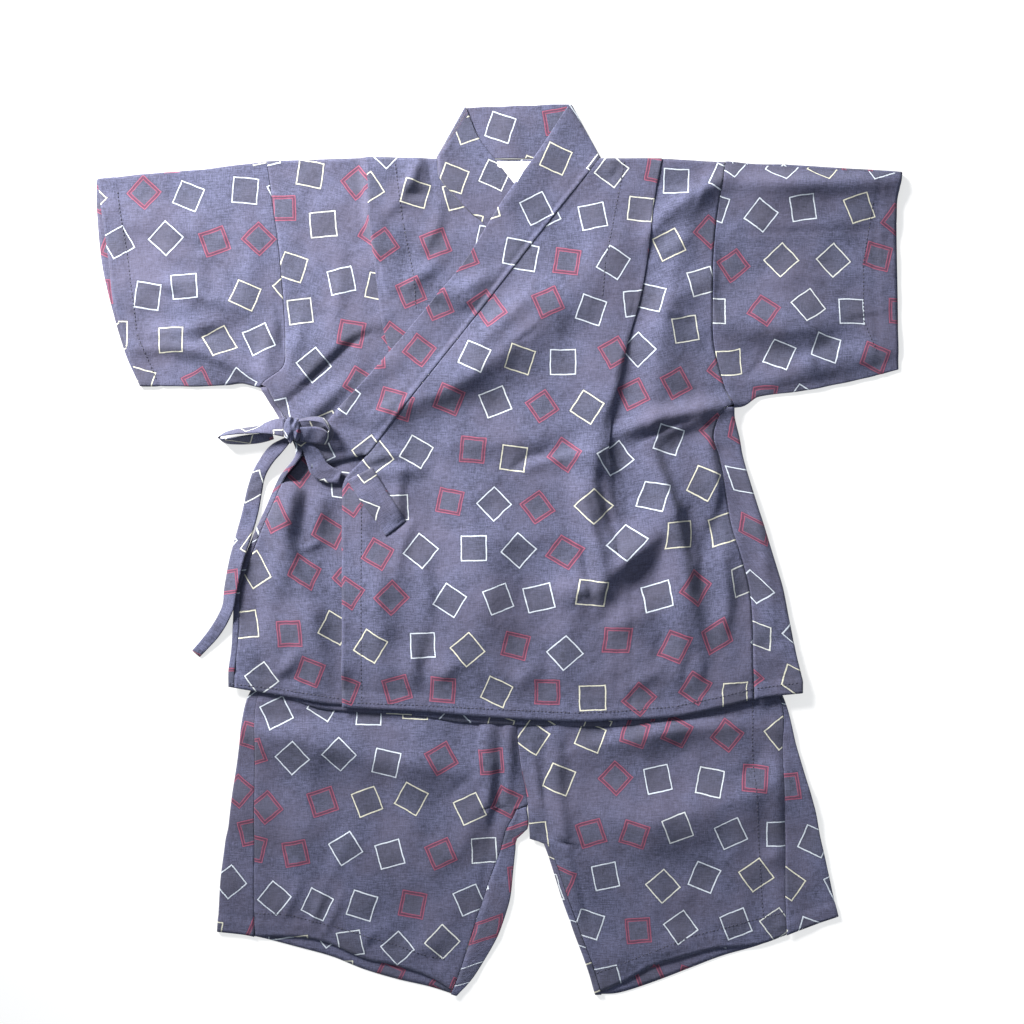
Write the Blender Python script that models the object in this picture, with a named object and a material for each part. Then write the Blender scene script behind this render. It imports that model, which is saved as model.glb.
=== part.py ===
"""A child's jinbei laid flat: a wrapped cotton jacket, tied with a bow, over a pair of shorts.

The set lies in the XY plane with its neck toward +Y. Every piece that is cut and sewn is one
closed wall of cloth. Its shape comes from short tables of sections, and its height from the
layers of cloth below it and from a table of folds. All lengths here are in millimetres and
become metres where a mesh is made. Left and right are the wearer's, who faces up.
"""

import math
from collections import namedtuple

import bmesh
import bpy
from mathutils import Vector

MM = 0.001

# Driving dimensions
WALL = 1.0  # thickness of a cloth wall
LAYER = 2.0  # rise from one layer of cloth to the next
SEAM = 0.3  # gap between two pieces at a seam
TIE_WALL = 1.2  # a tie is a folded strip, a little thicker than its cloth
UNDER_HEM_RISE = 4.3  # the jacket's lower part lies this much higher, over the shorts
TUCK_RADIUS = 0.8  # bend of the cloth at the edges of a shoulder tuck
LEAST_BEND = 2.0  # shortest stretch of cloth that an opened bend keeps
SLEEVE_EDGE = 1.8  # furthest that a sleeve's rounded edge stands out from its fold

FLOOR_LAYER = WALL / 2  # middle of the cloth that lies on the ground
SECOND_LAYER = FLOOR_LAYER + LAYER
THIRD_LAYER = SECOND_LAYER + LAYER

COTTON = (0.155, 0.165, 0.255)
LABEL_WHITE = (0.82, 0.82, 0.80)
ROUGHNESS = 0.85  # of cotton and label alike

# ---------------------------------------------------------------- reading tables


def smooth(start, end, value):
    """0 before start, 1 past end, and an even curve between them; start may be the larger."""
    share = min(1.0, max(0.0, (value - start) / (end - start)))
    return share * share * (3 - 2 * share)


def read(table, column, at):
    """A table's column at a place between its rows, on a smooth curve through the rows.

    The first column of a table holds the places, in rising or falling order.
    """
    places = [row[0] for row in table]
    values = [getattr(row, column) for row in table]
    if places[0] > places[-1]:
        places.reverse()
        values.reverse()
    if at <= places[0]:
        return values[0]
    if at >= places[-1]:
        return values[-1]
    i = next(k for k in range(len(places) - 1) if at <= places[k + 1])

    def slope(k):
        before, after = max(k - 1, 0), min(k + 1, len(places) - 1)
        return (values[after] - values[before]) / (places[after] - places[before])

    span = places[i + 1] - places[i]
    s = (at - places[i]) / span
    start = (1 + 2 * s) * (1 - s) ** 2 * values[i] + s * (1 - s) ** 2 * span * slope(i)
    return start + s * s * (3 - 2 * s) * values[i + 1] + s * s * (s - 1) * span * slope(i + 1)


# ---------------------------------------------------------------- outlines of the jacket

Side = namedtuple("Side", "y outline seam")  # outline: armhole, then side; seam: on the top
Front = namedtuple("Front", "y edge stitch fold")  # edge: at the collar; the tuck's two lines
Edge = namedtuple("Edge", "x y")
Cuff = namedtuple("Cuff", "share front back")  # x, by the share of the way down the sleeve

RIGHT_ARMPIT = 132.0  # y where the wearer's right sleeve ends
LEFT_ARMPIT = 116.0

RIGHT_SIDE = (
    Side(313, -186, -186),
    Side(276, -181, -181),
    Side(239, -176, -176),
    Side(190, -172, -172),
    Side(160, -171, -171),
    Side(146, -173, -173),
    Side(RIGHT_ARMPIT, -190, -184),
    Side(124, -187, -182),
    Side(106, -176, -171),
    Side(90, -166, -161),
    Side(76, -162, -157),
    Side(58, -175, -170),
    Side(34, -186, -181),
    Side(10, -197, -192),
    Side(-15, -207, -202),
    Side(-32, -212, -207),
    Side(-60, -213, -208),
    Side(-86, -214, -209),
    Side(-108, -216, -211),
)

LEFT_SIDE = (
    Side(313, 182, 182),
    Side(276, 176, 176),
    Side(239, 172, 172),
    Side(200, 171, 171),
    Side(168, 172, 172),
    Side(134, 180, 180),
    Side(124, 184, 184),
    Side(LEFT_ARMPIT, 188, 182),
    Side(106, 189, 176),
    Side(90, 193, 172),
    Side(74, 196, 177),
    Side(46, 204, 182),
    Side(18, 213, 187),
    Side(-8, 221, 195),
    Side(-32, 228, 201),
    Side(-60, 233, 203),
    Side(-88, 238, 203),
    Side(-114, 243, 204),
)

LEFT_FRONT = (
    Front(313, 81, 101, 131),
    Front(276, 51, 93, 124),
    Front(239, 22, 87, 120),
    Front(200, -8, 84, 113),
    Front(168, -33, 83, 104),
    Front(141, -54, 84, 98),
    Front(117, -73, 87, 92),
    Front(100, -86, 88, 90),
    Front(76, -105, 86, 88),
    Front(60, -121, 86, 92),
    Front(50, -125, 86, 94),
    Front(-50, -125, 86, 96),
    Front(-130, -125, 86, 96),
)
LEFT_TUCK_OPENS = (98.0, 58.0)  # y where the tuck starts to lie open, and where it is flat

RIGHT_FRONT = (
    Front(313, -49, -83, -106),
    Front(300, -48, -81, -105),
    Front(288, -39, -79, -104),
    Front(272, -24, -77, -104),
    Front(262, -12, -76, -103),
    Front(240, 7, -72, -101),
    Front(218, 25, -69, -98),
    Front(192, 46, -68, -95),
    Front(176, 59, -72, -92),
    Front(160, 71, -83, -88),
    Front(150, 79, -85.5, -87),
    Front(100, 118, -85, -87),
    Front(70, 141, -78, -88),
    Front(58, 154, -78, -88),
    Front(48, 157, -78, -88),
    Front(-130, 157, -78, -88),
)
RIGHT_TUCK_OPENS = (152.0, 112.0)

SHOULDER = (
    Edge(-186, 312),
    Edge(-140, 313.5),
    Edge(-106, 314.5),
    Edge(-49, 314),
    Edge(81, 314),
    Edge(125, 314),
    Edge(182, 311),
)
RIGHT_HEM = (Edge(-218, -109), Edge(-170, -117), Edge(-125, -124), Edge(157, -126))
LEFT_HEM = (
    Edge(-125, -126),
    Edge(-63, -129),
    Edge(-2, -134),
    Edge(60, -137),
    Edge(96, -136),
    Edge(142, -133),
    Edge(176, -126),
    Edge(209, -118),
    Edge(245, -114),
)
BACK_HEM = (
    Edge(-218, -109),
    Edge(-170, -118),
    Edge(-143, -127),
    Edge(-110, -130),
    Edge(-63, -133),
    Edge(-30, -138),
    Edge(60, -141),
    Edge(110, -140),
    Edge(142, -133),
    Edge(176, -126),
    Edge(209, -118),
    Edge(245, -114),
)
BODY_ROWS = (
    313, 294, 276, 258, 238, 216, 194, 176, 160, 146, RIGHT_ARMPIT, 124,
    LEFT_ARMPIT, 104, 90, 76, 60, 44, 22, 0, -24, -50, -76, -100, -125,
)  # fmt: skip
HEM_ROW = -125.0  # the last row follows the hem
ABOVE_HEM = 10.0  # y from which the rows start to bend toward the hem's curve
BELOW_SHOULDER = 280.0  # y from which they bend toward the shoulder line
TUCK_RAMP = (34.0, 3.0)  # where the cloth rises onto a tuck, before its stitched line
LEAST_FOLDED = 1.5  # least width of a tuck between its two bends

RIGHT_CUFF = (
    Cuff(0.0, -322, -323),
    Cuff(0.13, -319, -323),
    Cuff(0.4, -313, -319),
    Cuff(0.6, -309, -312),
    Cuff(0.85, -297, -300),
    Cuff(1.0, -288, -289),
)
RIGHT_SLEEVE_FOLD = (Edge(-323, 297), Edge(-230, 305.5), Edge(-186, 311))
RIGHT_UNDERARM = (Edge(-289, 133), Edge(-239, 132.5), Edge(-207, 135), Edge(-189, 134.8))
LEFT_CUFF = (
    Cuff(0.0, 323, 323),
    Cuff(0.16, 319, 320),
    Cuff(0.75, 320, 321),
    Cuff(1.0, 321, 321),
)
LEFT_SLEEVE_FOLD = (Edge(182, 310), Edge(240, 306.5), Edge(323, 301))
LEFT_UNDERARM = (
    Edge(187, 118.5),
    Edge(198, 119),
    Edge(208, 124),
    Edge(244, 129),
    Edge(285, 137),
    Edge(322, 146),
)

# ---------------------------------------------------------------- outlines of the shorts

Leg = namedtuple("Leg", "y outline side_seam inner inseam")  # x of the four lines of a leg

WAIST = -40.0
WAISTBAND = 26.0  # height of the elastic casing
WAIST_ENDS = (-110.0, 140.0)
GATHERS = 7  # waves across one front, below the waistband
GATHER_HEIGHT = 0.8
GATHERS_END = -112.0  # y where the waves have died out

Line = namedtuple("Line", "y x")
CENTER_SEAM = (Line(-40, 14), Line(-143, 15), Line(-174, 18), Line(-192, 22), Line(-221, 25))
RIGHT_LEG = (
    Leg(-40, -112, -106, 14, 14),
    Leg(-67, -150, -143, 14, 14),
    Leg(-92, -182, -174, 15, 15),
    Leg(-118, -201, -193, 15, 15),
    Leg(-158, -208, -195, 16, 16),
    Leg(-206, -215, -196, 22, 15),
    Leg(-223, -217, -196, 23.2, 7),
    Leg(-232, -219, -196, 14.5, 4),
    Leg(-240, -220, -196, 13.5, 2),
    Leg(-264, -223, -196, 11, -7),
    Leg(-280, -224, -196, 9, -12),
    Leg(-294, -225, -196, 5, -17),
    Leg(-308, -226, -196, 0, -21),
    Leg(-320, -227, -196, -6, -25),
    Leg(-344, -228, -196, -21, -33),
    Leg(-358, -228, -196, -34, -39),
)
LEFT_LEG = (
    Leg(-40, 142, 134, 14, 14),
    Leg(-67, 180, 172, 14, 14),
    Leg(-92, 212, 205, 15, 15),
    Leg(-120, 229, 226, 15, 15),
    Leg(-158, 239, 228, 16, 16),
    Leg(-206, 253, 229, 26, 30),
    Leg(-231, 258, 230, 35, 37),
    Leg(-248, 262, 230, 41, 45),
    Leg(-280, 269, 230, 51, 56),
    Leg(-308, 276, 231, 61, 66),
    Leg(-332, 278, 231, 70, 75),
    Leg(-358, 279, 231, 78, 83),
)
RIGHT_CROTCH = -206  # the rows where each leg starts to turn under inside
LEFT_CROTCH = -224
LEG_ROWS = (
    *(-67, -80, -98, -118, -138, -158, -176, -192, RIGHT_CROTCH, -216, -221),
    *(LEFT_CROTCH, -234, -250, -270, -289, -308),
)
RIGHT_LEG_HEM = (
    Edge(-229, -306),
    Edge(-198, -310),
    Edge(-158, -311),
    Edge(-135, -316),
    Edge(-108, -328),
    Edge(-81, -334),
    Edge(-55, -343),
    Edge(-33, -356),
)
RIGHT_LEG_BACK_HEM = (
    Edge(-229, -306),
    Edge(-198, -310),
    Edge(-158, -320),
    Edge(-133, -327),
    Edge(-108, -337),
    Edge(-81, -345),
    Edge(-55, -351),
    Edge(-33, -358),
)
LEFT_LEG_HEM = (
    Edge(78, -357),
    Edge(100, -347),
    Edge(122, -335),
    Edge(151, -326),
    Edge(174, -320),
    Edge(208, -317),
    Edge(236, -307),
    Edge(273, -294),
)
LEFT_LEG_BACK_HEM = (
    Edge(78, -357),
    Edge(96, -356),
    Edge(122, -348),
    Edge(151, -337),
    Edge(180, -326),
    Edge(208, -318),
    Edge(236, -307),
    Edge(273, -294),
)

# ---------------------------------------------------------------- folds and heights

Fold = namedtuple("Fold", "x0 y0 x1 y1 width height")  # a soft ridge along a line

JACKET_FOLDS = (
    Fold(182, 116, 108, 98, 8, 6.5),  # out of the left armpit
    Fold(150, 84, 128, -30, 10, 4.5),
    Fold(66, 74, 78, 2, 12, 5.0),  # below the left tuck
    Fold(128, 22, 90, -28, 12, 5.0),
    Fold(142, -10, 150, -96, 11, 4.0),
    Fold(184, 18, 178, -60, 9, 3.0),
    Fold(60, -30, 52, -100, 14, 2.5),
    Fold(-40, 60, -20, -60, 20, 2.5),
    Fold(172, 290, 140, 262, 8, 4.0),  # across the left shoulder
    Fold(162, 216, 134, 196, 9, 2.5),
    Fold(-92, 164, -168, 112, 9, 5.5),  # drawn toward the bow
    Fold(-112, 128, -150, 100, 7, 4.0),
    Fold(-100, 62, -60, 66, 7, 3.0),
    Fold(-140, 44, -152, -60, 8, 4.5),
    Fold(-166, 40, -184, -60, 9, 3.5),
    Fold(-110, 40, -96, -60, 12, 3.0),
    Fold(-190, 128, -182, 176, 7, 4.5),  # at the right armpit
    Fold(-196, 142, -262, 168, 9, 4.0),  # on the right sleeve
    Fold(-216, 190, -286, 204, 12, 3.0),
    Fold(-200, 250, -290, 262, 16, 2.0),
    Fold(188, 256, 312, 262, 9, 3.5),  # on the left sleeve
    Fold(214, 144, 296, 178, 9, 4.5),
    Fold(196, 190, 250, 170, 11, 3.0),
)
JACKET_FOLDS_END = (-122, -96)  # y between which they fade out above the hem
SHORTS_FOLDS = (
    Fold(3, -146, -4, -200, 7, 4.5),
    Fold(-14, -146, -14, -180, 6, 3.0),
    Fold(38, -146, 44, -205, 8, 4.5),
    Fold(46, -214, 66, -280, 10, 3.5),
    Fold(-150, -140, -160, -240, 16, 2.5),
    Fold(-60, -150, -74, -260, 18, 2.5),
    Fold(-110, -200, -120, -290, 16, 2.0),
    Fold(120, -150, 128, -270, 18, 3.0),
    Fold(190, -150, 200, -250, 14, 3.5),
    Fold(218, -144, 224, -280, 8, 3.0),
)
SHORTS_FOLDS_START = (-138, -160)  # y between which they begin, below the jacket's hem
OVER_TUCK = Fold(-62, 200, -82, 112, 30, 4.4)  # the upper layers ride over the right tuck
OVER_SHORTS = (22, -34)  # y between which the jacket climbs onto the shorts
BESIDE_SHORTS = (70, 8)  # how far inside the shorts' sides it starts to drop, and lies flat


def ridge(fold, x, y):
    """Height that one fold adds at a point."""
    along_x, along_y = fold.x1 - fold.x0, fold.y1 - fold.y0
    length = math.hypot(along_x, along_y)
    share = ((x - fold.x0) * along_x + (y - fold.y0) * along_y) / length**2
    nearest = min(1.0, max(0.0, share))
    away = math.hypot(x - fold.x0 - nearest * along_x, y - fold.y0 - nearest * along_y)
    crest = 0.35 + 0.65 * math.sin(math.pi * (0.15 + 0.7 * nearest))
    return fold.height * crest * math.exp(-((away / fold.width) ** 2))


def fold_height(folds, x, y):
    """Height of the highest fold at a point."""
    return max(ridge(fold, x, y) for fold in folds)


def ground(x, y):
    """Rise of the jacket where it lies over the shorts."""
    right, left = read(RIGHT_LEG, "outline", y), read(LEFT_LEG, "outline", y)
    far, near = BESIDE_SHORTS
    across = smooth(right - far, right - near, x) * smooth(left + far, left + near, x)
    return UNDER_HEM_RISE * smooth(*OVER_SHORTS, y) * across


def over_level(x, y):
    """Middle of the left front: it steps down past the right front that it covers.

    The step runs along the right front's collar, whose seam passes through one point.
    """
    seam_x, seam_y, across, up = 13, 294, 0.774, 0.633
    past_collar = across * (x - seam_x) + up * (y - seam_y)
    return SECOND_LAYER + LAYER * smooth(44, 14, past_collar)


def jacket_folds(x, y):
    """Folds of the jacket's top, fading toward the hem, where the cloth is held by its turning."""
    return fold_height(JACKET_FOLDS, x, y) * smooth(*JACKET_FOLDS_END, y)


# ---------------------------------------------------------------- making cloth


def matte(name, color):
    """The piece's own plain material."""
    material = bpy.data.materials.new(name)
    material.use_nodes = True
    shader = material.node_tree.nodes["Principled BSDF"]
    shader.inputs["Base Color"].default_value = (*color, 1.0)
    shader.inputs["Roughness"].default_value = ROUGHNESS
    shader.inputs["Metallic"].default_value = 0.0
    return material


def cloth(name, rows, wall=WALL, color=COTTON, leave_out=None, ring=False):
    """One closed wall of cloth through a grid of points, rows of equal length.

    leave_out(row, column) names the cells of the grid that are cut away. A ring joins the
    last column to the first, which makes a tube.
    """
    mesh = bpy.data.meshes.new(name)
    grid = bmesh.new()
    count = len(rows[0])
    points = [[grid.verts.new(Vector(point) * MM) for point in row] for row in rows]
    for r in range(len(rows) - 1):
        for c in range(count if ring else count - 1):
            if leave_out and leave_out(r, c):
                continue
            after = (c + 1) % count
            grid.faces.new((points[r][c], points[r + 1][c], points[r + 1][after], points[r][after]))
    loose = [vert for vert in grid.verts if not vert.link_faces]
    bmesh.ops.delete(grid, geom=loose, context="VERTS")
    grid.to_mesh(mesh)
    grid.free()
    mesh.shade_smooth()
    mesh.materials.append(matte(name, color))
    piece = bpy.data.objects.new(name, mesh)
    bpy.context.collection.objects.link(piece)
    thickness = piece.modifiers.new("Wall", "SOLIDIFY")
    thickness.thickness = wall * MM
    thickness.offset = 0.0
    thickness.use_even_offset = True
    thickness.thickness_clamp = 0.0
    return piece


class Path:
    """A cut across the cloth, walked from one end: (across, height) points."""

    def __init__(self, across, height, heading):
        self.across = across
        self.height = height
        self.heading = heading
        self.points = [(across, height)]

    def run(self, length, steps):
        start, base = self.across, self.height
        for k in range(1, steps + 1):
            self.across = start + length * k / steps * math.cos(self.heading)
            self.height = base + length * k / steps * math.sin(self.heading)
            self.points.append((self.across, self.height))

    def bend(self, radius, angle, steps=3):
        """Turn by an angle, up or, if it is negative, down, around a radius."""
        side = math.copysign(1.0, angle)
        center_x = self.across - side * radius * math.sin(self.heading)
        center_z = self.height + side * radius * math.cos(self.heading)
        start = self.heading
        for k in range(1, steps + 1):
            self.heading = start + angle * k / steps
            self.across = center_x + side * radius * math.sin(self.heading)
            self.height = center_z - side * radius * math.cos(self.heading)
            self.points.append((self.across, self.height))


def hem_shift(hem, x, y):
    """Shift of a row toward the hem's curve: none well above it, whole at the last row."""
    share = max(0.0, (ABOVE_HEM - y) / (ABOVE_HEM - HEM_ROW))
    return share**2 * (read(hem, "y", x) - HEM_ROW)


def body_y(x, y, hem):
    """A row's own y at a place across: it follows the shoulder at the top and the hem below."""
    near_top = smooth(BELOW_SHOULDER, BODY_ROWS[0], y)
    return y + near_top * (read(SHOULDER, "y", x) - BODY_ROWS[0] - SEAM) + hem_shift(hem, x, y)


# ---------------------------------------------------------------- the jacket


def jacket_back():
    """The back, which turns forward around both sides below the armpits."""
    across = 14
    rows = []
    for y in BODY_ROWS:
        right, left = read(RIGHT_SIDE, "outline", y), read(LEFT_SIDE, "outline", y)
        right_seam, left_seam = read(RIGHT_SIDE, "seam", y), read(LEFT_SIDE, "seam", y)
        right_bend = LAYER / 2
        left_bend = (over_level(left_seam, y) - FLOOR_LAYER) / 2
        if y > RIGHT_ARMPIT:
            right_bend = 0.0
        if y > LEFT_ARMPIT:
            left_bend = 0.0
        path = Path(right_seam - SEAM, FLOOR_LAYER + 2 * right_bend, math.pi)
        path.run(right_seam - SEAM - right - right_bend, 1)
        path.bend(right_bend, math.pi)
        start = path.across
        path.run(left - left_bend - start, across)
        path.bend(left_bend, math.pi)
        path.run(path.across - left_seam - SEAM, 2)
        row = []
        for x, height in path.points:
            on_top = smooth(FLOOR_LAYER + 0.2, SECOND_LAYER, height)
            z = height + ground(x, y) + on_top * jacket_folds(x, y)
            row.append((x, body_y(x, y, BACK_HEM), z))
        rows.append(row)
    right_rows = BODY_ROWS.index(RIGHT_ARMPIT)
    left_rows = BODY_ROWS.index(LEFT_ARMPIT)

    def above_armpit(r, c):
        return (c < 4 and r < right_rows) or (c >= 4 + across and r < left_rows)

    return cloth("jacket_back", rows, leave_out=above_armpit)


def opening_turn(y, opens):
    """Angle of a tuck's two bends: half a turn while it is closed, none where it lies flat."""
    return max(0.002, 1 - smooth(opens[0], opens[1], y)) * math.pi


def tuck_bend(angle):
    """Radius of a bend, wider as it opens, so that its cloth keeps a least length."""
    return max(TUCK_RADIUS, LEAST_BEND / angle)


def front_row(y, front, side, opens, way, flat_steps):
    """A cut across a front from its edge to its side: over the tuck and down to the shoulder.

    way is 1 for the left front and -1 for the right one, whose cut is mirrored. Returns the
    points with their share of the tuck's rise, which dies away from the fold to the edge.
    """
    edge = way * read(front, "edge", y) + SEAM / 2
    stitch, fold = way * read(front, "stitch", y), way * read(front, "fold", y)
    seam = way * read(side, "seam", y) - SEAM / 2
    angle = opening_turn(y, opens)
    radius = tuck_bend(angle)
    folded = max(fold - stitch, LEAST_FOLDED)
    rise = 2 * radius * (1 - math.cos(angle)) + folded * math.sin(angle)
    path = Path(edge, rise, 0.0)
    path.run(fold - radius * math.sin(min(angle, math.pi / 2)) - edge, flat_steps[0])
    path.bend(radius, -angle)
    path.run(folded, 2)
    path.bend(radius, angle)
    path.run(seam - path.across, flat_steps[1])
    points = []
    for k, (across, height) in enumerate(path.points):
        if k <= flat_steps[0]:
            height *= smooth(stitch - TUCK_RAMP[0], stitch - TUCK_RAMP[1], across)
        points.append((way * across, height))
    return points


def jacket_front_left():
    """The front that lies on top: collar seam, shoulder tuck, armhole and side seam."""
    rows = []
    for y in BODY_ROWS:
        row = []
        for x, height in front_row(y, LEFT_FRONT, LEFT_SIDE, LEFT_TUCK_OPENS, 1, (9, 6)):
            row.append((x, body_y(x, y, LEFT_HEM), height + over_height(x, y) + ground(x, y)))
        rows.append(row)
    return cloth("jacket_front_left", rows)


def right_front_shows(x, y):
    """1 where the right front is in view, falling to 0 where the left front covers it."""
    collar_reach = 50 if y > 60 else 0  # the collar covers this much beyond the left front
    cover = read(LEFT_FRONT, "edge", y) - collar_reach
    return smooth(cover - 2, cover - 24, x)


def jacket_front_right():
    """The front that lies below, and shows from the bow to the side."""
    rows = []
    for y in BODY_ROWS:
        row = []
        for x, height in front_row(y, RIGHT_FRONT, RIGHT_SIDE, RIGHT_TUCK_OPENS, -1, (8, 7)):
            z = height + SECOND_LAYER + ground(x, y)
            z += jacket_folds(x, y) * right_front_shows(x, y)
            row.append((x, body_y(x, y, RIGHT_HEM), z))
        rows.append(row)
    return cloth("jacket_front_right", rows)


def sleeve(name, side, cuffs, fold, underarm, way):
    """A sleeve: a tube pressed flat, open at the armhole and the cuff."""
    armpit = LEFT_ARMPIT if way > 0 else RIGHT_ARMPIT
    shares = [(BODY_ROWS[0] - y) / (BODY_ROWS[0] - armpit) for y in BODY_ROWS if y >= armpit]

    def place(along, share, column):
        """A point by its share of the way to the cuff and of the way down the sleeve."""
        row_y = BODY_ROWS[0] + (armpit - BODY_ROWS[0]) * share
        armhole = read(side, "outline", row_y) + way * SEAM
        top_y, bottom_y = read(fold, "y", armhole), read(underarm, "y", armhole)
        down = min(1.0, max(0.0, (top_y - row_y) / (top_y - bottom_y)))
        down += (share - down) * along
        x = armhole + (read(cuffs, column, share) - armhole) * along
        return x, read(fold, "y", x) * (1 - down) + read(underarm, "y", x) * down

    def top(x, y):
        level = over_level(x, y) if way > 0 else SECOND_LAYER
        return level + jacket_folds(x, y)

    def turn(x, y, z, side):
        """Three points around the sleeve's edge, from the upper layer to the lower one."""
        radius = (z - FLOOR_LAYER) / 2
        for angle in (math.pi / 4, math.pi / 2, math.pi * 3 / 4):
            out = side * min(radius, SLEEVE_EDGE) * math.sin(angle)
            yield x, y + out, FLOOR_LAYER + radius * (1 + math.cos(angle))

    lengthwise = 5
    rows = []
    for i in range(lengthwise + 1):
        along = i / lengthwise
        upper = [place(along, share, "front") for share in shares]
        upper = [(x, y, top(x, y)) for x, y in upper]
        lower = [(*place(along, share, "back"), FLOOR_LAYER) for share in reversed(shares)]
        rows.append([*upper, *turn(*upper[-1], -1), *lower, *reversed(list(turn(*upper[0], 1)))])
    return cloth(name, rows, ring=True)


# ---------------------------------------------------------------- the collar and label

Band = namedtuple("Band", "y free_x free_y")  # the collar's free edge beside a row of a front
Rib = namedtuple("Rib", "seam_x seam_y free_x free_y")

OVER_COLLAR = (
    Band(313, 53, 352),
    Band(306, 37, 327),
    Band(299, 24, 308),
    Band(285, 5, 282),
    Band(267, -8, 262),
    Band(247, -20, 242),
    Band(224, -34, 222),
    Band(201, -49, 204),
    Band(179, -64, 186),
    Band(156, -83, 163),
    Band(135, -101, 142),
    Band(112, -122, 120),
    Band(93, -138, 102),
    Band(84, -146, 88),
    Band(76, -150, 63),
)
BACK_NECK = (
    Rib(81, 314.3, 57, 358),
    Rib(60, 314.3, 42, 358),
    Rib(40, 314.3, 29, 357),
    Rib(16, 314.3, 15, 357),
    Rib(-8, 314.3, 1, 356),
    Rib(-28, 314.3, -12, 356),
    Rib(-49, 314.3, -26, 355),
)
UNDER_COLLAR = (
    Band(313, -24, 350),
    Band(303, -16, 331),
    Band(290, -3, 314),
    Band(275, 12, 295),
    Band(263, 28, 276),
    Band(241, 46, 252),
    Band(219, 62, 232),
    Band(193, 84, 204),
    Band(161, 109, 173),
    Band(130, 133, 142),
    Band(101, 156, 112),
    Band(76, 167, 95),
)
COLLAR_END = 76  # the row of the fronts where the collar ends


def front_ribs(front, bands):
    """Lines across the collar, one at each row of the front beside it."""
    for y in BODY_ROWS[: BODY_ROWS.index(COLLAR_END) + 1]:
        free_x, free_y = read(bands, "free_x", y), read(bands, "free_y", y)
        seam_x = read(front, "edge", y)
        yield Rib(seam_x, y + (SEAM if y == BODY_ROWS[0] else 0.0), free_x, free_y)


def rib_points(rib, steps=3):
    """Plan points across the collar, from its seam edge to its free edge."""
    length = math.hypot(rib.free_x - rib.seam_x, rib.free_y - rib.seam_y)
    start = SEAM / length
    for k in range(steps + 1):
        s = start + (1 - start) * k / steps
        yield rib.seam_x + (rib.free_x - rib.seam_x) * s, rib.seam_y + (rib.free_y - rib.seam_y) * s


def collar_turn(rib, way):
    """Rows around the fold at a neck point, from the lower to the upper stretch."""
    radius = LAYER / 2
    across_x, across_y = rib.free_y - rib.seam_y, rib.seam_x - rib.free_x
    length = math.hypot(across_x, across_y)
    for angle in (math.pi / 4, math.pi / 2, math.pi * 3 / 4):
        out = way * radius * math.sin(angle) / length
        z = FLOOR_LAYER + radius * (1 - math.cos(angle))
        yield [(x + out * across_x, y + out * across_y, z) for x, y in rib_points(rib)]


def over_height(x, y):
    """Middle of the left front and of the collar beside it, with its folds."""
    return over_level(x, y) + jacket_folds(x, y) + ridge(OVER_TUCK, x, y)


def collar():
    """One band: up the left front, around the back of the neck and down the right front."""
    rows = []
    for rib in front_ribs(LEFT_FRONT, OVER_COLLAR):
        rows.insert(0, [(x, y, over_height(x, y)) for x, y in rib_points(rib)])
    rows.extend(reversed(list(collar_turn(BACK_NECK[0], 1))))
    for rib in BACK_NECK:
        rows.append([(x, y, FLOOR_LAYER) for x, y in rib_points(rib)])
    rows.extend(collar_turn(BACK_NECK[-1], -1))
    for rib in front_ribs(RIGHT_FRONT, UNDER_COLLAR):
        rows.append([(x, y, SECOND_LAYER) for x, y in rib_points(rib)])
    return cloth("collar", rows)


def label():
    """The woven label inside the back of the neck, bare."""
    center_x, top, width, height, wall = 16.0, 312.0, 34.0, 22.0, 0.4
    middle = FLOOR_LAYER + WALL / 2 + SEAM + wall / 2
    rows = []
    for y in (top, top - height / 2, top - height):
        rows.append([(center_x + width * share, y, middle) for share in (-0.5, 0.0, 0.5)])
    return cloth("neck_label", rows, wall=wall, color=LABEL_WHITE)


# ---------------------------------------------------------------- the shorts


def leg_y(x, y, hem):
    """A row's own y at a place across: the lower rows follow the leg's hem."""
    share = max(0.0, (RIGHT_CROTCH - y) / (RIGHT_CROTCH - LEG_ROWS[-1]))
    return y + share * (read(hem, "y", x) - LEG_ROWS[-1])


def leg_x(leg, column, y, hem):
    """Where a row meets one of the leg's lines."""
    x = read(leg, column, y)
    for _ in range(4):
        x = read(leg, column, leg_y(x, y, hem))
    return x


def shorts_folds(x, y):
    """Folds of the shorts' front, which start below the jacket's hem."""
    return fold_height(SHORTS_FOLDS, x, y) * smooth(*SHORTS_FOLDS_START, y)


def shorts_front(name, leg, crotch, hem, way):
    """A front of the shorts: one half of the seat and one leg."""
    across = 8
    rows = []
    for y in LEG_ROWS:
        outer = leg_x(leg, "side_seam", y, hem) - way * SEAM / 2
        inner = read(CENTER_SEAM, "x", y) + way * SEAM / 2
        if y <= crotch:
            inner = leg_x(leg, "inseam", y, hem) + way * SEAM / 2
        row = []
        for k in range(across + 1):
            x = outer + (inner - outer) * k / across
            own_y = leg_y(x, y, hem)
            gather = 0.5 + 0.5 * math.cos(math.pi * GATHERS * k / across)
            z = SECOND_LAYER + GATHER_HEIGHT * gather * smooth(GATHERS_END, LEG_ROWS[0], y)
            row.append((x, own_y, z + shorts_folds(x, own_y)))
        rows.append(row)
    return cloth(name, rows)


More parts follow.
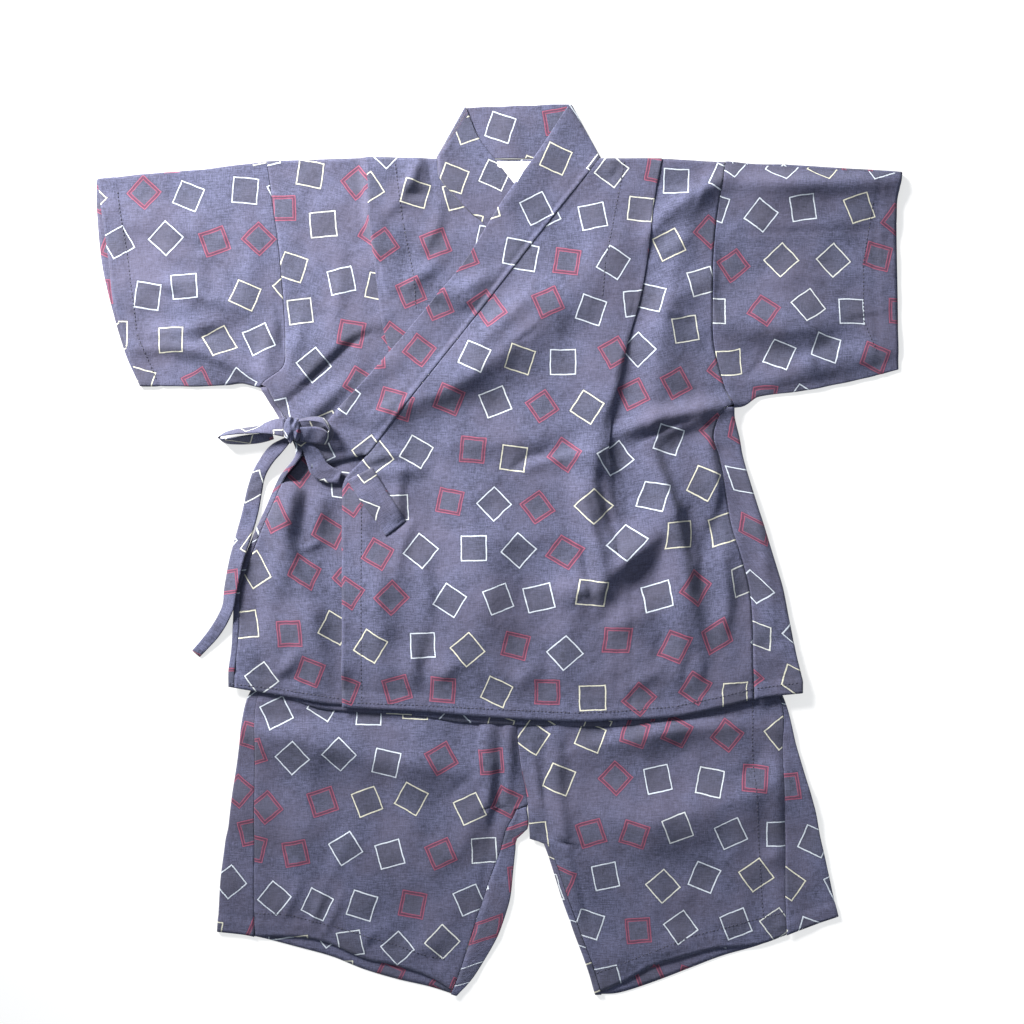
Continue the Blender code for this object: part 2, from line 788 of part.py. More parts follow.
def shorts_back(name, leg, crotch, hem, way):
    """A back of the shorts: it turns forward around the leg's outside and, below, its inside."""
    across = 7
    bend = LAYER / 2
    rows = []
    for y in LEG_ROWS:
        outer = way * leg_x(leg, "outline", y, hem)
        seam = way * leg_x(leg, "side_seam", y, hem) + SEAM / 2
        path = Path(seam, SECOND_LAYER, 0.0)
        path.run(max(0.4, outer - bend - seam), 2)
        path.bend(bend, -math.pi)
        if y > crotch:
            path.run(path.across - way * read(CENTER_SEAM, "x", y) - SEAM / 2, across)
            path.run(0.0, 4)
        else:
            path.run(path.across - way * leg_x(leg, "inner", y, hem) - bend, across)
            path.bend(bend, -math.pi)
            path.run(max(0.4, way * leg_x(leg, "inseam", y, hem) - SEAM / 2 - path.across), 1)
        row = []
        for x, height in path.points:
            own_y = leg_y(way * x, y, hem)
            on_top = smooth(FLOOR_LAYER + 0.2, SECOND_LAYER, height)
            row.append((way * x, own_y, height + on_top * shorts_folds(way * x, own_y)))
        rows.append(row)
    below = LEG_ROWS.index(crotch)

    def seat_inside(r, c):
        return c >= 5 + across and r < below

    return cloth(name, rows, leave_out=seat_inside)


def waistband():
    """The elastic casing, a short tube pressed flat."""
    bend = LAYER / 2
    steps = 10
    rows = []
    for y in (WAIST, WAIST - WAISTBAND / 2, WAIST - WAISTBAND):
        path = Path(WAIST_ENDS[0] + bend, SECOND_LAYER, 0.0)
        length = WAIST_ENDS[1] - WAIST_ENDS[0] - 2 * bend
        path.run(length, steps)
        path.bend(bend, -math.pi)
        path.run(length, steps)
        path.bend(bend, -math.pi)
        rows.append([(x, y, z) for x, z in path.points[:-1]])
    return cloth("waistband", rows, ring=True)


# ---------------------------------------------------------------- the ties

Strip = namedtuple("Strip", "x0 y0 z0 x1 y1 z1")  # the two edges of a tie at one place

SIDE_TIE = (
    Strip(-175, 111, 5.2, -169, 98, 4.8),
    Strip(-173, 109, 7.5, -169, 96, 7.5),
    Strip(-169.4, 105, 10, -169.1, 93, 10.4),
)
LOOP_OUT = (
    Strip(-170.4, 105, 12, -170.4, 90, 15),
    Strip(-179, 104, 9, -179, 91, 16),
    Strip(-189, 100, 6, -189, 91, 16),
    Strip(-196, 96, 5, -196, 93, 16),
    Strip(-208, 94.5, 3, -209, 92.5, 15),
    Strip(-219, 92.5, 3, -220, 91, 13),
    Strip(-223.5, 89.5, 3, -223.5, 89, 13),
    Strip(-219, 86.5, 3, -219, 86, 13),
    Strip(-208, 86, 3, -208, 86.5, 13),
    Strip(-196, 87, 3, -196, 89, 12),
    Strip(-187, 88.5, 4, -187, 90.5, 11),
    Strip(-180, 90, 4.5, -180, 92, 9.5),
)
LOOP_IN = (
    Strip(-158, 104, 12, -158, 99, 20),
    Strip(-148, 106, 11, -148, 100, 20),
    Strip(-139, 104, 11, -139, 99, 20),
    Strip(-133, 97, 11, -133, 95, 20),
    Strip(-132, 91, 11, -133, 91, 20),
    Strip(-137, 85, 11, -138, 88, 20),
    Strip(-146, 85, 11, -147, 90, 19),
    Strip(-157.8, 87, 12, -157.8, 92, 17.5),
)
TAIL_LONG = (
    Strip(-168.4, 90.5, 8.4, -164.6, 87.9, 9.6),
    Strip(-181, 84.5, 5.5, -173.5, 77, 9),
    Strip(-189, 76, 3.5, -180, 70, 7),
    Strip(-197, 63, 1.8, -187, 59, 3.4),
    Strip(-202, 48, 1.2, -190, 46, 1.6),
    Strip(-206, 30, 1.2, -193, 29, 2.2),
    Strip(-211, 11, 1.2, -198, 10, 6),
    Strip(-216, -8, 1.4, -204, -9, 9),
    Strip(-220, -30, 1.4, -209, -32, 10),
    Strip(-222, -46, 1.4, -213, -50, 8.5),
    Strip(-232, -64, 1.2, -224, -69, 4),
    Strip(-246, -81, 1.2, -240, -86, 1.4),
)
TAIL_SHORT = (  # heights above the cloth that it lies on, from the collar's end
    Strip(-121, 56, 1.5, -101, 66, 1.6),
    Strip(-114, 45, 2.1, -94, 55, 2.3),
    Strip(-105, 32, 2.1, -86, 42, 2.3),
    Strip(-97, 22, 1.9, -80, 33, 2.0),
    Strip(-90, 11, 1.7, -74, 23, 1.7),
)
COLLAR_TIE = (
    Strip(-151, 63, 6.4, -136, 67, 6.4),
    Strip(-153, 72, 6.8, -139, 75, 6.8),
    Strip(-157, 81, 8, -147, 83.5, 8.4),
    Strip(-162.6, 87, 10, -156.5, 89, 10.6),
)


def on_left_front(x, y):
    """Top of the left front at a point."""
    return over_height(x, y) + ground(x, y) + WALL / 2


def strip(name, table, beneath=None, steps=3, lengthwise=2):
    """A tie's stretch through its sections, smoothed between them.

    beneath gives the height of the cloth that it lies on, and the ground is at 0.
    """
    last = len(table) - 1
    Place = namedtuple("Place", "at " + " ".join(table[0]._fields))
    placed = [Place(k, *section) for k, section in enumerate(table)]
    rows = []
    for i in range(last * lengthwise + 1):
        at = i / lengthwise
        x0, y0, z0, x1, y1, z1 = (read(placed, column, at) for column in table[0]._fields)
        row = []
        for k in range(steps + 1):
            s = k / steps
            x, y = x0 + (x1 - x0) * s, y0 + (y1 - y0) * s
            row.append((x, y, z0 + (z1 - z0) * s + (beneath(x, y) if beneath else 0.0)))
        rows.append(row)
    return cloth(name, rows, wall=TIE_WALL)


def knot():
    """The knot: a tie wrapped tight around the other, a small lump with flattened sides."""
    center, radii = (-163.5, 96.0, 14.0), (6.5, 10.0, 6.0)
    mesh = bpy.data.meshes.new("tie_knot")
    ball = bmesh.new()
    bmesh.ops.create_uvsphere(ball, u_segments=12, v_segments=6, radius=1.0)
    for vert in ball.verts:
        vert.co = Vector(c + r * v for c, r, v in zip(center, radii, vert.co)) * MM
    ball.to_mesh(mesh)
    ball.free()
    mesh.shade_smooth()
    mesh.materials.append(matte("tie_knot", COTTON))
    piece = bpy.data.objects.new("tie_knot", mesh)
    bpy.context.collection.objects.link(piece)
    return piece


def main():
    for leftover in list(bpy.data.objects):
        bpy.data.objects.remove(leftover)
    shorts_back("shorts_back_right", RIGHT_LEG, RIGHT_CROTCH, RIGHT_LEG_BACK_HEM, -1)
    shorts_back("shorts_back_left", LEFT_LEG, LEFT_CROTCH, LEFT_LEG_BACK_HEM, 1)
    shorts_front("shorts_front_right", RIGHT_LEG, RIGHT_CROTCH, RIGHT_LEG_HEM, -1)
    shorts_front("shorts_front_left", LEFT_LEG, LEFT_CROTCH, LEFT_LEG_HEM, 1)
    waistband()
    jacket_back()
    jacket_front_right()
    jacket_front_left()
    sleeve("sleeve_right", RIGHT_SIDE, RIGHT_CUFF, RIGHT_SLEEVE_FOLD, RIGHT_UNDERARM, -1)
    sleeve("sleeve_left", LEFT_SIDE, LEFT_CUFF, LEFT_SLEEVE_FOLD, LEFT_UNDERARM, 1)
    collar()
    label()
    strip("tie_root_side", SIDE_TIE)
    strip("tie_root_collar", COLLAR_TIE)
    strip("tie_loop_outer", LOOP_OUT)
    strip("tie_loop_inner", LOOP_IN)
    strip("tie_tail_long", TAIL_LONG)
    strip("tie_tail_short", TAIL_SHORT, beneath=on_left_front)
    knot()


main()
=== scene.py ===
"""A child's jinbei laid flat: its printed cotton, soft folds, hems and stitching.

The file is laid out as an add-on and run as a script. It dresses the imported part: every piece of
cloth is a fine sheet in the place of its solid. Lengths in the tables are in millimetres and
become metres where a mesh is made. Left and right are the wearer's, who faces up, and the neck
lies toward +Y.
"""

import math
from collections import namedtuple

import bmesh
import bpy
import numpy as np
from bpy.props import FloatProperty, FloatVectorProperty, PointerProperty
from mathutils import Matrix, Vector
from mathutils.bvhtree import BVHTree


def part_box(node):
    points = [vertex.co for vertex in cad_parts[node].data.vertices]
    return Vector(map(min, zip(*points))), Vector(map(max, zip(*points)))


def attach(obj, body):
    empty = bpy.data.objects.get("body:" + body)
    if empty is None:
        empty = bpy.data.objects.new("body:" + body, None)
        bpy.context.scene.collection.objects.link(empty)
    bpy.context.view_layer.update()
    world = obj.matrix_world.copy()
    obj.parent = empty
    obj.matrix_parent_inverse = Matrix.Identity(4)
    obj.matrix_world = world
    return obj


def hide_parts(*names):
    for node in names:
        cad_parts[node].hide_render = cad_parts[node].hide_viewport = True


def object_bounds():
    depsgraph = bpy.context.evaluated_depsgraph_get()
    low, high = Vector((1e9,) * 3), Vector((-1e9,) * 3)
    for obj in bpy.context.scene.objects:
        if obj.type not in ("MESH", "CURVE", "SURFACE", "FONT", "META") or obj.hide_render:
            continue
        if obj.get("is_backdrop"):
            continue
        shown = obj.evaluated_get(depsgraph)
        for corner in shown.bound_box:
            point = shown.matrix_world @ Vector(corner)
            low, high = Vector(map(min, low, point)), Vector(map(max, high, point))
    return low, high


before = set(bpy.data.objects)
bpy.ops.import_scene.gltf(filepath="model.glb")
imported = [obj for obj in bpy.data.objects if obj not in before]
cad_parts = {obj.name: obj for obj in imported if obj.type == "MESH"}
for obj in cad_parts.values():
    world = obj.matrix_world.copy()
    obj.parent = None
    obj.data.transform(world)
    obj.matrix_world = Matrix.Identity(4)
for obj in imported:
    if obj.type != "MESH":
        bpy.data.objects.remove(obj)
cad_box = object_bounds()

bl_info = {
    "name": "Jinbei laid flat",
    "version": (1, 0, 0),
    "blender": (4, 5, 0),
    "location": "3D View > Sidebar > Jinbei",
    "description": "Makes a child's printed cotton jinbei, jacket and shorts, laid flat",
    "category": "Add Mesh",
}

MM = 0.001
LAYER = 2.0  # rise from one layer of cloth to the next
SEAM = 0.1  # gap between two pieces at a seam
UNDER_HEM_RISE = 4.3  # the jacket's lower part lies this much higher, over the shorts
TUCK_RADIUS = 0.42  # bend of the cloth at the edges of a shoulder tuck
LEAST_BEND = 1.32  # shortest stretch of cloth that an opened bend keeps
LEAST_ANGLE = 0.002  # share of its turn that it keeps
TAKEN_UP = 0.3  # share of the cloth that goes into the folds by which the print shifts
SLEEVE_EDGE = 1.8  # furthest that a sleeve's rounded edge stands out from its fold
FLOOR_LAYER = 0.5  # middle of the cloth that lies on the ground
SECOND_LAYER = FLOOR_LAYER + LAYER
TIE_WALL = 1.2  # a tie is sewn from folded cloth
LABEL_WALL = 0.35
STITCH = (1.2, 0.5, 0.32)  # half of a stitch's length, width and height
STITCH_RISE = 0.06  # how far its middle lies above the cloth
BEND_STEPS = 6  # faces around a bend of the cloth
ROW_TOLERANCE = 1.3  # half of the distance between the body's rows
MERGE = 1e-5  # metres; where a tube's two ends meet

# light and camera, in metres
WINDOW_SIZE = (0.6, 0.55)
WINDOW_PLACE = (-1.10, 1.26, 0.86)
WINDOW_AIM = (-0.20, 0.33, 0.0)
WINDOW_COLOR = (1.0, 0.98, 0.95)
ROOM_COLOR = (0.80, 0.88, 1.0, 1.0)
CAMERA_PLACE = (0.0108, 0.0304, 1.1438)

# ---------------------------------------------------------------- tables


def table(columns, *rows):
    """Rows of numbers with named columns. The first column holds the places, in order."""
    Row = namedtuple("Row", columns)
    return [Row(*row) for row in rows]


def smooth(start, end, value):
    """0 before start, 1 past end, and an even curve between them; start may be the larger."""
    share = np.clip((value - start) / (end - start), 0.0, 1.0)
    return share * share * (3 - 2 * share)


def read(rows, column, at):
    """A table's column at places between its rows, on a smooth curve through the rows."""
    places = np.array([row[0] for row in rows], float)
    values = np.array([getattr(row, column) for row in rows], float)
    if places[0] > places[-1]:
        places, values = places[::-1], values[::-1]
    at = np.clip(at, places[0], places[-1])
    i = np.clip(np.searchsorted(places, at) - 1, 0, len(places) - 2)
    k = np.arange(len(places))
    before, after = np.maximum(k - 1, 0), np.minimum(k + 1, len(places) - 1)
    slope = (values[after] - values[before]) / (places[after] - places[before])
    span = places[i + 1] - places[i]
    s = (at - places[i]) / span
    start = (1 + 2 * s) * (1 - s) ** 2 * values[i] + s * (1 - s) ** 2 * span * slope[i]
    return start + s * s * (3 - 2 * s) * values[i + 1] + s * s * (s - 1) * span * slope[i + 1]


RIGHT_ARMPIT = 132.0  # y where the wearer's right sleeve ends
LEFT_ARMPIT = 116.0

RIGHT_SIDE = table(
    "y outline seam",
    (313, -186, -186), (276, -181, -181), (239, -176, -176), (190, -172, -172), (160, -171, -171),
    (146, -173, -173), (RIGHT_ARMPIT, -190, -184), (124, -187, -182), (106, -176, -171),
    (90, -166, -161), (76, -162, -157), (58, -175, -170), (34, -186, -181), (10, -197, -192),
    (-15, -207, -202), (-32, -212, -207), (-60, -213, -208), (-86, -214, -209), (-108, -216, -211),
)

LEFT_SIDE = table(
    "y outline seam",
    (313, 182, 182), (276, 176, 176), (239, 172, 172), (200, 171, 171), (168, 172, 172),
    (134, 180, 180), (124, 184, 184), (LEFT_ARMPIT, 188, 182), (106, 189, 176), (90, 193, 172),
    (74, 196, 177), (46, 204, 182), (18, 213, 187), (-8, 221, 195), (-32, 228, 201),
    (-60, 233, 203), (-88, 238, 203), (-114, 243, 204),
)

LEFT_FRONT = table(
    "y edge stitch fold",
    (313, 81, 101, 131), (276, 51, 93, 124), (239, 22, 87, 120), (200, -8, 84, 113),
    (168, -33, 83, 104), (141, -54, 84, 98), (117, -73, 87, 92), (100, -86, 88, 90),
    (76, -105, 86, 88), (60, -121, 86, 92), (50, -125, 86, 94), (-50, -125, 86, 96),
    (-130, -125, 86, 96),
)
LEFT_TUCK_OPENS = (98.0, 58.0)  # y where the tuck starts to lie open, and where it is flat

RIGHT_FRONT = table(
    "y edge stitch fold",
    (313, -49, -83, -106), (300, -48, -81, -105), (288, -39, -79, -104), (272, -24, -77, -104),
    (262, -12, -76, -103), (240, 7, -72, -101), (218, 25, -69, -98), (192, 46, -68, -95),
    (176, 59, -72, -92), (160, 71, -83, -88), (150, 79, -85.5, -87), (100, 118, -85, -87),
    (70, 141, -78, -88), (58, 154, -78, -88), (48, 157, -78, -88), (-130, 157, -78, -88),
)
RIGHT_TUCK_OPENS = (152.0, 112.0)

SHOULDER = table(
    "x y",
    (-186, 312), (-140, 313.5), (-106, 314.5), (-49, 314), (81, 314), (125, 314), (182, 311),
)
RIGHT_HEM = table("x y", (-218, -109), (-170, -117), (-125, -124), (157, -126))
LEFT_HEM = table(
    "x y",
    (-125, -126), (-63, -129), (-2, -134), (60, -137), (96, -136), (142, -133), (176, -126),
    (209, -118), (245, -114),
)
BACK_HEM = table(
    "x y",
    (-218, -109), (-170, -118), (-143, -127), (-110, -130), (-63, -133), (-30, -138), (60, -141),
    (110, -140), (142, -133), (176, -126), (209, -118), (245, -114),
)
HEM_ROW = -125.0  # the last row follows the hem
ABOVE_HEM = 10.0  # y from which the rows start to bend toward the hem's curve
BELOW_SHOULDER = 280.0  # y from which they bend toward the shoulder line
TUCK_RAMP = (34.0, 3.0)  # where the cloth rises onto a tuck, before its stitched line
LEAST_FOLDED = 1.5  # least width of a tuck between its two bends
FOLDED_STEPS = 4  # faces between them
TUCK_TURN = math.radians(15)  # how far the print turns where a tuck takes up the cloth

RIGHT_CUFF = table(
    "share front back",
    (0.0, -322, -323), (0.13, -319, -323), (0.4, -313, -319), (0.6, -309, -312),
    (0.85, -297, -300), (1.0, -288, -289),
)
RIGHT_SLEEVE_FOLD = table("x y", (-323, 297), (-230, 305.5), (-186, 311))
RIGHT_UNDERARM = table("x y", (-289, 133), (-239, 132.5), (-207, 135), (-189, 134.8))
LEFT_CUFF = table(
    "share front back",
    (0.0, 323, 323), (0.16, 319, 320), (0.75, 320, 321), (1.0, 321, 321),
)
LEFT_SLEEVE_FOLD = table("x y", (182, 310), (240, 306.5), (323, 301))
LEFT_UNDERARM = table(
    "x y",
    (187, 118.5), (198, 119), (208, 124), (244, 129), (285, 137), (322, 146),
)

WAIST = -40.0
WAISTBAND = 26.0  # height of the elastic casing
WAIST_ENDS = (-110.0, 140.0)
GATHERED = 1.6  # times as much cloth as the casing is long
LEAST_PANEL = 0.4  # least width of cloth that is turned forward around a leg
GATHERS = 7  # waves across one front, below the waistband
GATHER_HEIGHT = 0.8
GATHERS_END = -112.0  # y where the waves have died out

CENTER_SEAM = table("y x", (-40, 14), (-143, 15), (-174, 18), (-192, 22), (-221, 25))
RIGHT_LEG = table(
    "y outline side_seam inner inseam",
    (-40, -112, -106, 14, 14), (-67, -150, -143, 14, 14), (-92, -182, -174, 15, 15),
    (-118, -201, -193, 15, 15), (-158, -208, -195, 16, 16), (-206, -215, -196, 22, 15),
    (-223, -217, -196, 23.2, 7), (-232, -219, -196, 14.5, 4), (-240, -220, -196, 13.5, 2),
    (-264, -223, -196, 11, -7), (-280, -224, -196, 9, -12), (-294, -225, -196, 5, -17),
    (-308, -226, -196, 0, -21), (-320, -227, -196, -6, -25), (-344, -228, -196, -21, -33),
    (-358, -228, -196, -34, -39),
)
LEFT_LEG = table(
    "y outline side_seam inner inseam",
    (-40, 142, 134, 14, 14), (-67, 180, 172, 14, 14), (-92, 212, 205, 15, 15),
    (-120, 229, 226, 15, 15), (-158, 239, 228, 16, 16), (-206, 253, 229, 26, 30),
    (-231, 258, 230, 35, 37), (-248, 262, 230, 41, 45), (-280, 269, 230, 51, 56),
    (-308, 276, 231, 61, 66), (-332, 278, 231, 70, 75), (-358, 279, 231, 78, 83),
)
RIGHT_CROTCH = -206  # the rows where each leg starts to turn under inside
LEFT_CROTCH = -224
RIGHT_LEG_HEM = table(
    "x y",
    (-229, -306), (-198, -310), (-158, -311), (-135, -316), (-108, -328), (-81, -334), (-55, -343),
    (-33, -356),
)
RIGHT_LEG_BACK_HEM = table(
    "x y",
    (-229, -306), (-198, -310), (-158, -320), (-133, -327), (-108, -337), (-81, -345), (-55, -351),
    (-33, -358),
)
LEFT_LEG_HEM = table(
    "x y",
    (78, -357), (100, -347), (122, -335), (151, -326), (174, -320), (208, -317), (236, -307),
    (273, -294),
)
LEFT_LEG_BACK_HEM = table(
    "x y",
    (78, -357), (96, -356), (122, -348), (151, -337), (180, -326), (208, -318), (236, -307),
    (273, -294),
)

JACKET_FOLDS = table(
    "x0 y0 x1 y1 width height",
    (182, 116, 108, 98, 8, 6.5), (150, 84, 136, -10, 10, 1.5), (66, 74, 78, 2, 12, 5.0),
    (120, 12, 90, -28, 12, 4.0), (142, -10, 150, -96, 11, 4.0), (184, 18, 178, -60, 9, 3.0),
    (60, -30, 52, -100, 14, 2.5), (-40, 60, -20, -60, 20, 2.5), (172, 290, 140, 262, 8, 2.2),
    (162, 216, 134, 196, 9, 2.5), (-84, 152, -160, 101, 11, 4.2), (-112, 128, -150, 100, 7, 2.5),
    (-100, 62, -60, 66, 7, 3.0), (-139, 46, -145, 14, 8, 4.8), (-166, 40, -184, -60, 9, 3.5),
    (-110, 40, -96, -60, 12, 3.0), (-190, 128, -182, 176, 7, 3.0), (-196, 142, -262, 168, 9, 4.0),
    (-216, 190, -286, 204, 12, 3.0), (-200, 250, -290, 262, 16, 2.0), (188, 256, 312, 262, 9, 1.8),
    (222, 140, 300, 160, 9, 3.6), (196, 190, 250, 170, 11, 3.0),
)
JACKET_FOLDS_END = (-122, -96)  # y between which they fade out above the hem
SHORTS_FOLDS = table(
    "x0 y0 x1 y1 width height",
    (3, -146, -4, -200, 7, 2.2), (-14, -146, -14, -180, 6, 3.0), (38, -146, 44, -205, 8, 3.0),
    (46, -214, 66, -280, 10, 3.5), (-150, -140, -160, -240, 16, 2.5),
    (-60, -150, -74, -260, 18, 2.5), (-110, -200, -120, -290, 16, 2.0),
    (120, -150, 128, -270, 18, 1.5), (190, -150, 200, -250, 14, 1.2),
    (218, -144, 224, -280, 8, 1.4),
)
SHORTS_FOLDS_START = (-131, -145)  # y between which they begin, below the jacket's hem
# the upper layers ride over the right front's tuck
OVER_TUCK = table("x0 y0 x1 y1 width height", (-62, 200, -82, 112, 30, 4.4))
OVER_SHORTS = (22, -34)  # y between which the jacket climbs onto the shorts
BESIDE_SHORTS = (70, 8)  # how far inside the shorts' sides it starts to drop, and lies flat

OVER_COLLAR = table(
    "y free_x free_y",
    (313, 53, 352), (306, 37, 327), (299, 24, 308), (285, 5, 282), (267, -8, 262), (247, -20, 242),
    (224, -34, 222), (201, -49, 204), (179, -64, 186), (156, -83, 163), (135, -101, 142),
    (112, -122, 120), (93, -138, 102), (84, -146, 88), (76, -150, 63),
)
BACK_NECK = table(
    "seam_x seam_y free_x free_y",
    (81, 314.3, 57, 358), (60, 314.3, 42, 358), (40, 314.3, 29, 357), (16, 314.3, 15, 357),
    (-8, 314.3, 1, 356), (-28, 314.3, -12, 356), (-49, 314.3, -26, 355),
)
UNDER_COLLAR = table(
    "y free_x free_y",
    (313, -24, 350), (303, -16, 331), (290, -3, 314), (275, 12, 295), (263, 28, 276),
    (241, 46, 252), (219, 62, 232), (193, 84, 204), (161, 109, 173), (130, 133, 142),
    (101, 156, 112), (76, 167, 95),
)
COLLAR_END = 76  # the row of the fronts where the collar ends

SIDE_TIE = table(
    "x0 y0 z0 x1 y1 z1",
    (-175, 111, 5.2, -169, 98, 4.8), (-173, 109, 7.5, -169, 96, 7.5),
    (-169.4, 105, 10, -169.1, 93, 10.4),
)
LOOP_OUT = table(
    "x0 y0 z0 x1 y1 z1",
    (-170.4, 105, 12, -170.4, 90, 15), (-179, 104, 9, -179, 92, 16),
    (-189, 100.5, 5, -189, 93, 15.5), (-196, 98.5, 4, -196, 93, 15),
    (-208, 97, 3, -209, 92.5, 14), (-219, 94, 3, -220, 91, 12), (-223.5, 90, 3, -223.5, 89.5, 12),
    (-219, 86, 3, -219, 88.5, 12), (-208, 85, 3, -208, 90.2, 12),
    (-196, 85.5, 3, -196, 92.2, 11.5), (-187, 87, 4, -187, 92.8, 11),
    (-180, 89, 4.5, -180, 92.3, 9.5),
)
LOOP_IN = table(
    "x0 y0 z0 x1 y1 z1",
    (-158, 104, 12, -158, 102, 19.5), (-148, 106, 11, -148, 102.5, 19.5),
    (-139, 104.5, 11, -139, 100.5, 19.5), (-133, 97, 11, -134.5, 96, 19.5),
    (-132, 91, 11, -135, 93.5, 19.2), (-137, 85, 11, -139.5, 96.5, 18.4),
    (-146, 85, 11, -147, 98, 17.6), (-157.8, 87, 12, -157.8, 97.5, 17),
)
TAIL_LONG = table(
    "x0 y0 z0 x1 y1 z1",
    (-168.4, 90.5, 8.4, -164.6, 87.9, 9.6), (-181, 84.5, 5.5, -173.5, 77, 9),
    (-189, 76, 3.5, -180, 70, 7), (-197, 63, 1.8, -187, 59, 3.4), (-202, 48, 1.2, -190, 46, 1.6),
    (-206, 30, 1.2, -193, 29, 2.2), (-211, 11, 1.2, -198, 10, 5.6), (-216, -8, 1.4, -204, -9, 7.2),
    (-220, -30, 1.4, -209, -32, 7.6), (-222, -46, 1.4, -213, -50, 6.8),
    (-232, -64, 1.2, -224, -69, 3.4), (-246, -81, 1.2, -240, -86, 1.4),
)
TAIL_SHORT = table(
    "x0 y0 z0 x1 y1 z1",
    (-121, 56, 0.9, -101, 66, 1.0), (-114, 45, 1.2, -94, 55, 1.4), (-105, 32, 1.2, -86, 42, 1.4),
    (-97, 22, 0.8, -80, 33, 0.8), (-90, 11, 0.4, -74, 23, 0.4),
)
COLLAR_TIE = table(
    "x0 y0 z0 x1 y1 z1",
    (-127.5, 53, 5.2, -125.5, 63, 5.6), (-140, 54.5, 6.1, -131, 65.5, 6.4),
    (-150, 61, 6.4, -136.5, 69, 6.6), (-153.5, 71, 6.9, -140, 75, 7.0),
    (-157, 81, 8, -147, 83.5, 8.4), (-162.6, 87, 10, -156.5, 89, 10.6),
)
KNOT_MIDDLE = (-163.5, 96.0, 14.0)
KNOT_RADII = (7.2, 10.6, 6.4)
KNOT_WRAP = 0.008  # metres; the radius at which its cloth's place on the bolt is counted

# how far each piece's place on the bolt is from its place in the set, so that prints don't match
BOLT_PLACES = {
    "jacket_back": (11, 7), "jacket_front_right": (31, 5), "jacket_front_left": (3, 19),
    "sleeve_right": (-23, 5), "sleeve_left": (23, 21),
    "shorts_back_right": (5, -21), "shorts_back_left": (5, 21),
    "shorts_front_right": (8, -8), "shorts_front_left": (26, 14),
}
COLLAR_PLACES = {"over": 9.0, "floor": 150.0, "under": 290.0}
COLLAR_DRIFT = 1.7  # times as far along the bolt as across it

# ---------------------------------------------------------------- fine creases and stitches

